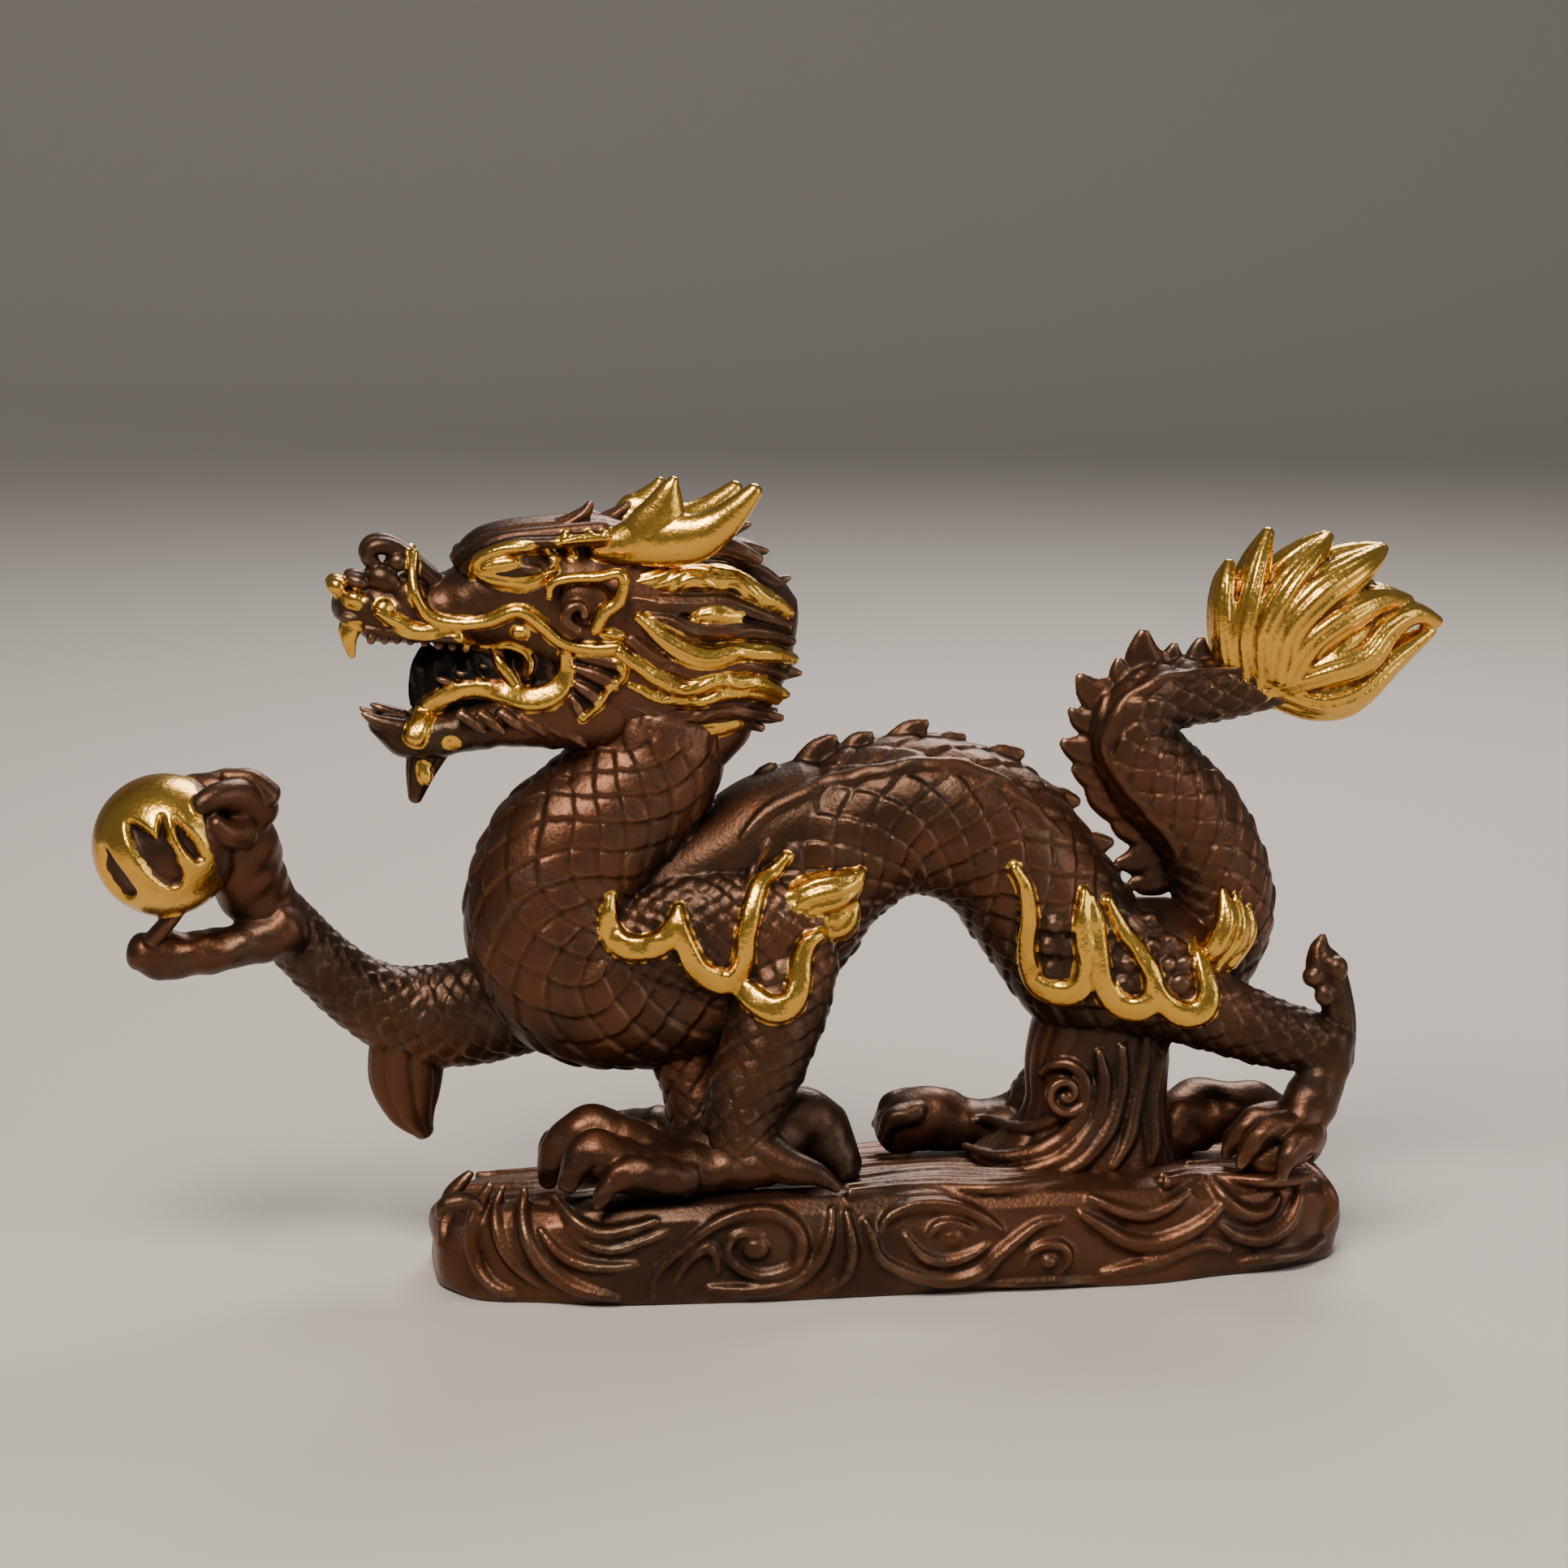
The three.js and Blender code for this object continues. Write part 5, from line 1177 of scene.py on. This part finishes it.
@dataclass
class Hindquarters:
    """Both hind legs, the hips' flame borders and the cloud column that carries the hips."""

    scales: Scales = Scales(pitch=2.6, columns=9, lift=0.75, point=1.7, groove=0.35)

    def legs(self, piece: Casting) -> None:
        """Left hind leg stretched back, its hock tuft and foot; right hind leg folded under."""
        skin = Knots(0.3, 8)
        piece.add(limb([[46, -6, 62, 8.4, 12.6], [54, -8.6, 57, 8.4, 11.2], [64, -11, 51.8, 7.2, 8.0], [75.6, -13, 47.4, 6.0, 6.8],
                        [86, -14.3, 44.8, 5.3, 5.8]], 0.5, relief=self.scales),
                  limb([[88.8, -14.8, 46, 5.2, 4.8], [86.6, -15.2, 38.6, 5.2, 5.2], [83.2, -16.2, 31.4, 5.8, 5.6],
                        [79, -17.2, 25.6, 6.6, 5.6], [73, -18, 22, 6, 4.4]], 0.5, relief=skin),
                  limb([[90.2, -14.6, 41, 3.4, 3.2], [90.4, -14.8, 49, 3.2, 3.2], [88.8, -14.6, 56, 3.2, 3.6],
                        [86.8, -14.4, 61.0, 3.3, 3.9], [86.0, -14.2, 64.4, 2.2, 2.4], [86.6, -14, 67.0, 0.8, 0.8]], 0.45,
                       relief=Strands(6, 0.7, 0.3, 8)),
                  blob((84.4, -15.6, 59.0), (2.4, 2.4, 2.2)), blob((88.8, -16.6, 60.8), (2.4, 2.2, 2.6)),
                  blob((86.6, -16.6, 55.4), (2.3, 2.0, 2.4)),
                  limb([[50, 7, 60, 8, 11], [46, 10, 48, 8, 9], [41, 12, 36, 7, 8], [33, 13.4, 26, 6.6, 6]], 0.6,
                       relief=self.scales),
                  limb([[36, 13, 24, 6.6, 6], [22, 14.2, 22.6, 6.6, 5.4], [11, 14.6, 24.6, 7, 6.8], [4.6, 14.4, 22.4, 6, 5.6]], 0.6,
                       relief=skin))
        for rows in ([[80, -19.6, 29, 3.2, 3.6], [75, -21.6, 29.4, 3.0, 3.0], [70.6, -22.6, 27.0, 2.6, 2.4], [68, -23, 22.4, 1.2, 1.2]],
                     [[79, -14.6, 30, 3.2, 3.4], [73.4, -15.0, 29.6, 3.0, 2.9], [69, -15.4, 26.4, 2.4, 2.3], [67, -15.6, 22.6, 1.2, 1.2]],
                     [[83, -21, 27, 3.0, 3.6], [79.6, -24.4, 27.0, 2.6, 2.8], [76.6, -26.4, 24.4, 2.2, 2.2], [75.4, -27, 20.6, 1, 1]],
                     [[8, 9.6, 27, 2.6, 2.6], [3.2, 9.0, 26.4, 2.4, 2.2], [0.6, 9, 22.6, 1.4, 1.4]],
                     [[10, 17, 28, 2.8, 2.8], [4.2, 17.6, 27, 2.6, 2.4], [1.2, 18, 22.6, 1.4, 1.4]]):
            piece.add(limb(rows, 0.4, relief=skin))

    def borders(self, piece: Casting) -> None:
        """Bright flame borders and cobbled swellings between them."""
        loops = [
            [[22.6, 83.4, 0.5], [25.0, 79.0, 1.0], [26.0, 73.5, 1.2], [25.9, 68.1, 1.3], [26.6, 62.6, 1.5], [29.0, 58.2, 1.8],
             [33.4, 56.8, 2.0], [36.6, 58.4, 1.8], [37.5, 62.7, 1.5], [37.0, 67.7, 1.3], [36.6, 72.2, 1.1], [37.3, 77.8, 0.5]],
            [[38.4, 76.4, 0.5], [39.6, 71.0, 1.2], [40.2, 65.0, 1.4], [41.0, 59.2, 1.6], [43.9, 54.9, 1.9], [48.2, 53.7, 2.0],
             [51.2, 56.2, 1.7], [50.7, 60.8, 1.3], [48.4, 65.2, 1.1], [45.4, 69.1, 1.0], [42.4, 75.4, 0.5]],
            [[51.6, 59.0, 0.9], [53.2, 55.4, 1.6], [56.4, 52.8, 1.9], [60.4, 53.2, 1.9], [62.2, 56.4, 1.6], [61.6, 60.4, 1.3],
             [60.4, 64.6, 0.9], [60.6, 67.4, 0.4]],
        ]
        for path in loops:
            piece.band([[x, z, 0.35 + w * 1.15] for x, z, w in path], 1.8, -0.1, fallback=-14, power=3.2)
            piece.band([[x, z, w * 0.8] for x, z, w in path], 0.9, 0.1, far=True, fallback=-12)
        for x, z, r in ((31.4, 61.6, 2.4), (33.6, 66.2, 2.1), (30.2, 66.6, 2.0), (31.2, 71.2, 1.9), (34.0, 71.0, 1.6),
                        (45.6, 58.4, 2.2), (46.4, 62.4, 1.8), (43.8, 63.2, 1.6), (44.0, 67.4, 1.5), (56.6, 58.6, 2.3),
                        (57.8, 62.6, 1.8), (54.4, 62.6, 1.6), (55.2, 66.6, 1.6), (51.4, 66.0, 1.7), (51.6, 70.6, 1.6)):
            depth, _ = piece.ground(np.array([[x, z]] * 5), -14)
            piece.add(blob((x, depth[0] + 0.4, z), (r, 1.3, r * 0.95), 0, 0.4))
        for rows in ([[61.2, -10.4, 61.6, 1.6, 1.4], [64.6, -12.6, 65.0, 2.4, 2.6], [66.8, -12.4, 70.4, 2.4, 2.6], [66.4, -11, 76.4, 0.7, 0.8]],
                     [[64, -11, 60.4, 2.2, 2.2], [69.0, -11.6, 66.4, 2.3, 2.3], [70.0, -11.0, 71, 1.8, 1.8], [69.2, -10.4, 75.2, 0.7, 0.7]],
                     [[68, -10.4, 61.6, 2.2, 2.2], [72.2, -10, 67, 1.7, 1.7], [72.4, -9.6, 72, 0.7, 0.7]]):
            piece.add(limb(rows, 0.4, relief=Strands(6, 0.6, 0.5, 5)), rub=Rub.BRIGHT)

    def column(self, piece: Casting) -> None:
        """Cloud column with a volute at its top and bands streaming down to the plinth."""
        piece.add(limb([[40, 0, 14, 16, 24], [42.5, 0, 23, 13.6, 17.6], [43.4, 0, 31, 11.6, 14.8], [43.6, 0, 41, 10.6, 15],
                        [45, 0, 52, 10.4, 13.6]], 0.6, ends=0.2, relief=Strands(16, 0.8, 1.6, 12)),
                  limb([[56, 5, 19, 9, 6], [64, 6, 24.4, 7.4, 7], [70, 6, 26.2, 7, 6.8], [78, 4, 25.4, 7, 6.2], [88, 2, 20, 6.4, 5.4]],
                       0.6, relief=Knots(0.8, 14)))
        piece.set_ground()
        streams = [
            [[31.0, 38.4, 0.8], [33.0, 40.6, 1.2], [36.6, 40.6, 1.4], [38.8, 37.0, 1.5], [38.0, 31.6, 1.6], [35, 27.0, 1.8],
             [30, 23.8, 1.9], [24, 22.0, 1.6], [17, 21.2, 0.8]],
            [[33.0, 36.2, 0.9], [35.4, 37.2, 1.1], [36.4, 34.4, 1.2], [34.4, 31.2, 1.4], [30.4, 28.0, 1.5], [25, 26.0, 1.4],
             [20, 25.4, 0.7]],
            [[41.6, 43.6, 1.0], [42.6, 37.6, 1.6], [41.6, 31.4, 1.7], [38.6, 26.6, 1.7], [34, 22.4, 1.8], [27, 20.0, 1.5],
             [20, 18.8, 0.7]],
            [[46.2, 44.6, 1.0], [46.4, 37.6, 1.5], [45.0, 31.4, 1.7], [42.4, 26.6, 1.7], [38, 22.0, 1.6], [32, 19.0, 0.8]],
            [[51.4, 46.4, 1.0], [50.6, 38.6, 1.5], [49.0, 31.4, 1.6], [47.4, 25.6, 1.6], [44, 20.4, 0.8]],
            [[56.0, 45.4, 1.0], [54.6, 38.6, 1.4], [53.4, 31.4, 1.5], [53.6, 24.6, 1.4], [52.6, 20.0, 0.7]],
        ]
        for k, path in enumerate(streams):
            piece.band(path, 1.5, 0.0, Rub.PATINA, -8)
            piece.band([[x, z, w] for x, z, w in path], 1.2, 0.2, Rub.PATINA, -8, far=True)
        piece.add(limb([[34.6 + 4.4 * (1 - u) * math.cos(5.6 - 9.4 * u), -11.2, 35.4 + 4.4 * (1 - u) * math.sin(5.6 - 9.4 * u), 1.3, 1.1]
                        for u in np.linspace(0, 0.86, 14)], 0.4))


# ---------------------------------------------------------------- plinth
@dataclass
class Plinth:
    """Low block of rolling cloud: a flat underside, a sloping top, volutes and waves round its wall."""

    half_length: float = 94.0
    half_depth: float = 30.5
    height: float = 18.6
    square: float = 3.2
    edge: float = 3.0
    waves: Sequence[tuple[Rows, float]] = field(default_factory=lambda: [
        ([[-93.0, 20.0], [-91.9, 22.4], [-87.1, 23.0], [-85.0, 21.4]], 1.8),
        ([[-85.2, 22.0], [-88.9, 17.7], [-90.3, 13.4], [-91.7, 9.1]], 1.9),
        ([[-82.1, 22.9], [-84.8, 18.1], [-86.0, 12.6], [-85.0, 7.1], [-82.4, 3.4], [-78.2, 2.0]], 1.9),
        ([[-79.6, 21.9], [-81.3, 17.1], [-80.4, 12.0], [-77.3, 7.4], [-72.6, 3.6]], 1.5),
        ([[-75.6, 22.0], [-76.1, 16.1], [-74.5, 11.0], [-70.9, 6.6], [-65.3, 3.4], [-58.3, 2.0]], 1.9),
        ([[-73.1, 15.3], [-69.5, 10.8], [-64.7, 8.4], [-59.3, 7.9], [-54.5, 8.4]], 1.5),
        ([[-69.6, 20.3], [-66.5, 16.8], [-61.2, 14.4], [-55.9, 15.2], [-50.6, 17.0]], 1.9),
        ([[-67.6, 16.0], [-64.5, 12.6], [-59.2, 11.2], [-53.3, 12.9], [-48.1, 15.0]], 1.3),
        ([[-51.4, 2.0], [-50.8, 6.4], [-45.5, 11.6], [-40.1, 15.8], [-34.8, 17.8], [-27.8, 18.0], [-23.0, 15.0],
          [-21.9, 10.6], [-24.1, 6.8], [-30.0, 5.4], [-35.3, 7.9], [-36.4, 12.3], [-33.7, 14.4], [-30.0, 13.7]], 1.7),
        ([[-46.9, 5.1], [-44.3, 9.4], [-40.5, 11.9], [-38.9, 9.6], [-38.4, 6.4]], 1.6),
        ([[-40.2, 3.2], [-32.1, 2.6], [-24.1, 4.0], [-18.7, 8.3], [-16.4, 13.7], [-15.8, 18.0]], 1.8),
        ([[-12.9, 17.6], [-12.3, 13.4], [-12.0, 9.4], [-13.4, 5.0], [-17.4, 2.2]], 1.6),
        ([[-9.2, 15.7], [-7.9, 12.3], [-6.8, 8.9], [-3.6, 6.4], [1.9, 4.0], [8.4, 3.1], [13.8, 4.5], [17.1, 7.7],
          [21.4, 11.0], [25.7, 13.6], [30.1, 14.2]], 1.8),
        ([[-6.4, 13.2], [-4.8, 16.0], [-0.4, 17.7], [5.0, 17.9], [10.4, 17.1], [14.8, 15.1], [18.0, 12.9]], 1.8),
        ([[-1.2, 12.4], [1.9, 8.6], [6.2, 7.2], [11.1, 8.1], [15.0, 10.1]], 1.5),
        ([[3.2, 12.2], [5.1, 14.2], [8.9, 14.4], [12.4, 13.2]], 1.4),
        ([[22.6, 5.3], [23.6, 8.0], [26.9, 9.5], [30.7, 8.8], [31.6, 6.0], [29.2, 3.2]], 1.3),
        ([[34.1, 15.4], [38.5, 12.4], [43.4, 9.2], [49.5, 8.1], [55.4, 9.9], [60.4, 12.7], [63.5, 15.2]], 2.2),
        ([[36.3, 18.3], [41.7, 15.7], [47.3, 14.4], [51.6, 15.4], [57.1, 17.9]], 1.8),
        ([[38.4, 3.0], [44.8, 4.0], [50.8, 4.9], [55.7, 6.6], [60.7, 7.3], [65.6, 5.6]], 1.6),
        ([[12.2, 2.2], [20.6, 1.9], [29.4, 1.8], [37.9, 1.8]], 1.2),
        ([[61.6, 19.9], [64.5, 15.8], [69.0, 12.8], [73.9, 12.7], [76.2, 15.0]], 2.0),
        ([[63.1, 11.4], [67.0, 8.6], [72.6, 7.3], [78.1, 9.6], [81.0, 14.6], [81.3, 19.0]], 2.0),
        ([[83.6, 18.6], [87.2, 15.1], [89.1, 10.9], [87.6, 6.7]], 2.0),
        ([[67.1, 2.6], [74.6, 3.3], [81.3, 3.4], [87.5, 4.4]], 1.6),
    ])

    def wall(self, x: np.ndarray) -> np.ndarray:
        """Depth of the wall at x: the superellipse |x / length|^n + |y / depth|^n = 1."""
        share = np.clip(np.abs(x) / (self.half_length - 0.9), 0, 0.995) ** self.square
        return (self.half_depth - 0.9) * (1 - share) ** (1 / self.square)

    def body(self) -> Surface:
        """Block whose section narrows towards its top."""
        levels = [(0.0, 0.8), (0.06, 0.0), (0.3, 0.0), (0.62, 0.2), (0.8, 0.9), (0.93, self.edge), (1.0, self.edge * 2.2)]
        share = np.interp(np.linspace(0, len(levels) - 1, 40), np.arange(len(levels)), [l[0] for l in levels])[:, None]
        inset = np.interp(np.linspace(0, len(levels) - 1, 40), np.arange(len(levels)), [l[1] for l in levels])[:, None]
        f = np.linspace(0, 2 * np.pi, 600, endpoint=False)[None, :]
        wave = 0.5 * np.sin(9 * f + share * 7) + 0.35 * np.sin(14 * f - share * 5)
        power = 2 / self.square
        x = (self.half_length - inset - 1.2 + wave) * np.sign(np.cos(f)) * np.abs(np.cos(f)) ** power
        y = (self.half_depth - inset - 1.2 + wave) * np.sign(np.sin(f)) * np.abs(np.sin(f)) ** power
        top = self.height - 0.1 * y - 3 * (x / self.half_length) ** 4
        grid = np.stack([x, y, share * (top + 0.5 * np.sin(7 * f + 1))], -1)
        inner = [np.stack([grid[-1, :, 0] * k, grid[-1, :, 1] * k, self.height - 0.1 * grid[-1, :, 1] * k
                           - 3 * (grid[-1, :, 0] * k / self.half_length) ** 4], -1) for k in (0.8, 0.6, 0.4, 0.2)]
        return rings_to_surface(np.concatenate([grid, inner]), np.array([[0, 0, 0], [0, 0, self.height]], float))

    def volute(self, piece: Casting, x: float, z: float, radius: float, turns: float, sense: int, start: float,
               thick: float = 1.9) -> None:
        """A spiral band that winds in to a knob: radius times (1 - 0.9 u) at turn u."""
        u = np.linspace(0, 1, 26)
        f = start + sense * u * turns * 2 * np.pi
        r = radius * (1 - 0.86 * u)
        px, pz = x + r * np.cos(f), np.clip(z + r * np.sin(f) * 0.8, 1.4, 21)
        py = -self.wall(px) + 0.6
        piece.add(limb(np.column_stack([px, py, pz, thick * (1 - 0.3 * u), thick * (0.9 - 0.35 * u)]).tolist(), 0.5))
        piece.add(blob((x, -float(self.wall(np.array(x))) + 0.2, z), (radius * 0.2, 1.9, radius * 0.17)))

    def flow(self, piece: Casting, guide: Rows, count: int, gap: float, thick: float = 1.5) -> None:
        """A sheaf of bands side by side along a guide line of the front wall.

        Args:
            piece: the casting.
            guide: stations [x, z, half width].
            count: number of bands.
            gap: distance between their middles, mm.
            thick: half thickness, mm.
        """
        line, _ = evenly([[x, 0, z, w] for x, z, w in guide], 2.0)
        heading = unit(np.gradient(line[:, [0, 2]], axis=0))
        sideways = np.stack([-heading[:, 1], heading[:, 0]], 1)
        spread = np.sin(np.linspace(0.25, math.pi - 0.15, len(line)))[:, None]
        for k in range(count):
            offset = sideways * (k - (count - 1) / 2) * gap * (0.35 + 0.65 * spread)
            px, pz = line[:, 0] + offset[:, 0], line[:, 2] + offset[:, 1]
            path = np.column_stack([px, np.clip(pz, 1.2, 30), line[:, 3]])
            piece.band(path.tolist(), thick, 0.2, Rub.PATINA, -28.0)

    def build(self) -> Casting:
        """Shapes the plinth."""
        piece = Casting("cloud_plinth", 0.5, 140000)
        piece.add(self.body())
        piece.set_ground()
        self.front(piece)
        self.back(piece)
        self.top(piece)
        return piece

    def front(self, piece: Casting) -> None:
        """Volutes and waves of the wall that faces the room."""
        for path, width in self.waves:
            rows, _ = evenly([[x, 0.0, z] for x, z in path], 2.0)
            share = np.linspace(0.0, 1.0, len(rows))
            swell = width * (0.35 + 0.65 * np.sin(np.pi * np.clip(share * 0.94 + 0.03, 0, 1)) ** 0.7)
            piece.band(np.column_stack([rows[:, 0], np.clip(rows[:, 2], 1.3, 30), swell]).tolist(), 2.3, 0.2, Rub.PATINA,
                       -28.0, relief=None, power=1.7)
        for x, z, r in ((-31.0, 11.2, 2.4), (8.0, 11.8, 2.2), (27.6, 6.0, 1.6)):
            piece.add(blob((x, -float(self.wall(np.array(x))) + 0.6, z), (r * 1.2, 1.8, r)))

    def back(self, piece: Casting) -> None:
        """Plainer waves of the wall turned away from the room."""
        for k in range(7):
            x = -78 + 25 * k
            piece.band([[x - 12, 14.5, 0.8], [x - 6, 9.4, 1.5], [x, 6.6, 1.7], [x + 7, 7.4, 1.5], [x + 11, 11.6, 0.8]], 1.4, 0.2,
                       Rub.PATINA, far=True)
            piece.band([[x - 9, 4.4, 0.7], [x - 1, 2.6, 1.3], [x + 9, 3.6, 0.7]], 1.3, 0.2, Rub.PATINA, far=True)

    def top(self, piece: Casting) -> None:
        """Streams of cloud over the top."""
        streams = [
            [[-84, -10], [-66, -16], [-50, -8], [-38, 4]], [[-86, 4], [-70, 0], [-56, 8], [-40, 18]],
            [[-82, 16], [-66, 14], [-50, 20], [-30, 22]], [[-12, -24], [4, -20], [18, -24], [34, -20]],
            [[-8, -14], [8, -8], [22, -14], [34, -12]], [[-6, -2], [10, 2], [22, -4], [30, -6]],
            [[52, -24], [62, -18], [74, -22], [84, -16]], [[60, -12], [70, -8], [80, -10], [88, -4]],
            [[62, 18], [72, 14], [82, 16], [88, 8]], [[-20, 16], [-6, 20], [8, 24], [28, 24]], [[-30, -6], [-18, 4], [-6, 8], [6, 8]],
        ]
        for path in streams:
            for shift in (-1.8, 1.8):
                rows = [[x, y + shift, self.height - 0.1 * y - 3 * (x / self.half_length) ** 4 - 0.5, 1.7 if 0 < k < 3 else 0.8, 1.4]
                        for k, (x, y) in enumerate(path)]
                piece.add(limb(rows, 0.6))


# ---------------------------------------------------------------- room
@dataclass
class Studio:
    """Plain pale room, three soft lights and the camera."""

    eye: Sequence[float] = (-147.57, -845.84, 257.00)
    aim: Sequence[float] = (-21.15, 0.0, 98.49)
    lens: float = 100.0
    floor_colour: Colour = (0.50, 0.45, 0.41, 1)

    def build(self) -> None:
        """Sets the room up."""
        self.floor()
        self.light("key", (-0.30, -0.62, 0.95), 0.45, 17.0, (1.0, 0.93, 0.84))
        self.light("fill", (0.85, -0.65, 0.40), 0.6, 3.5, (0.94, 0.96, 1.0))
        self.light("back", (0.25, 0.7, 0.8), 0.5, 9.0, (1.0, 0.97, 0.93))
        world = bpy.data.worlds.new("room")
        bpy.context.scene.world = world
        world.use_nodes = True
        back = world.node_tree.nodes["Background"]
        back.inputs["Color"].default_value = (0.62, 0.66, 0.70, 1)
        back.inputs["Strength"].default_value = 0.26
        self.camera()

    def floor(self) -> None:
        """A sheet that curves up behind the sculpture."""
        v = np.linspace(0, 1, 60)[:, None]
        u = np.linspace(-3.0, 3.0, 2)[None, :]
        run = np.where(v < 0.5, -2.5 + v * 8.0, 1.5 + np.sin(np.clip((v - 0.5) * 4, 0, 1) * np.pi / 2) * 0.8)
        rise = np.where(v < 0.5, 0.0, 0.8 - 0.8 * np.cos(np.clip((v - 0.5) * 4, 0, 1) * np.pi / 2)
                        + np.clip(v - 0.75, 0, 1) * 10)
        grid = np.stack([u + 0 * v, run + 0 * u, rise + 0 * u], -1).reshape(-1, 3)
        k = np.arange(59)[:, None] * 2
        faces = np.concatenate([np.hstack([k, k + 1, k + 3]), np.hstack([k, k + 3, k + 2])])
        sheet = Casting.to_object(grid, faces, "floor")
        sheet.data.polygons.foreach_set("use_smooth", np.ones(len(faces), bool))
        sheet.data.materials.append(Plain("pale_floor", self.floor_colour).material())

    def light(self, name: str, place: Sequence[float], size: float, watts: float, colour: Sequence[float]) -> None:
        """A square soft light aimed at the sculpture."""
        lamp = bpy.data.lights.new(name, "AREA")
        lamp.size, lamp.energy, lamp.color = size, watts, colour
        obj = bpy.data.objects.new(name, lamp)
        bpy.context.scene.collection.objects.link(obj)
        obj.location = place
        obj.rotation_euler = (Vector((-0.02, 0, 0.08)) - Vector(place)).to_track_quat("-Z", "Y").to_euler()

    def camera(self) -> None:
        """The camera, at the height of a person sitting before the shelf."""
        lens = bpy.data.cameras.new("camera")
        lens.lens, lens.sensor_width = self.lens, 36.0
        obj = bpy.data.objects.new("camera", lens)
        bpy.context.scene.collection.objects.link(obj)
        eye, aim = Vector(self.eye) * MM, Vector(self.aim) * MM
        obj.location = eye
        obj.rotation_euler = (aim - eye).to_track_quat("-Z", "Y").to_euler()
        lens.clip_start, lens.clip_end = 0.01, 50.0
        bpy.context.scene.camera = obj


# ---------------------------------------------------------------- the sculpture
def forequarters(trunk: Trunk) -> Casting:
    """Neck, breast and arch with the left foreleg's shoulder laid over them."""
    piece = Casting("body", 0.42, 175000)
    piece.add(*trunk.body(), *trunk.crown())
    leg = Foreleg()
    leg.add_to(piece)
    piece.set_ground()
    leg.borders(piece)
    for far in (False, True):
        piece.band(trunk.ridge, 1.0, 0.1, Rub.PATINA, far=far)
    return piece


def hindquarters(tail: Tail) -> Casting:
    """Hips, tail, hind legs and cloud column."""
    piece = Casting("hindquarters", 0.42, 180000)
    quarters = Hindquarters()
    piece.add(*tail.body(), *tail.crown())
    quarters.legs(piece)
    quarters.column(piece)
    piece.add(Trunk().part(True))
    piece.set_ground()
    quarters.borders(piece)
    for far in (False, True):
        piece.band(tail.ridge, 0.9, 0.1, Rub.PATINA, far=far)
    return piece


def paw() -> Casting:
    """The planted paw."""
    piece = Casting("planted_paw", 0.42, 45000)
    Foreleg().paw(piece)
    return piece


def main() -> None:
    """Builds every piece, dresses it and reports it."""
    logging.basicConfig(level=logging.INFO, format="%(message)s")
    brass = RubbedBrass().material()
    makers: list[Callable[[], Casting]] = [
        lambda: forequarters(Trunk()), lambda: hindquarters(Tail()), paw, Tuft().build, Head().build, Mane().build,
        RaisedArm().build, Plinth().build,
    ]
    for make in makers:
        make().fuse(brass)
    Studio().build()


if __name__ == "__main__":
    main()
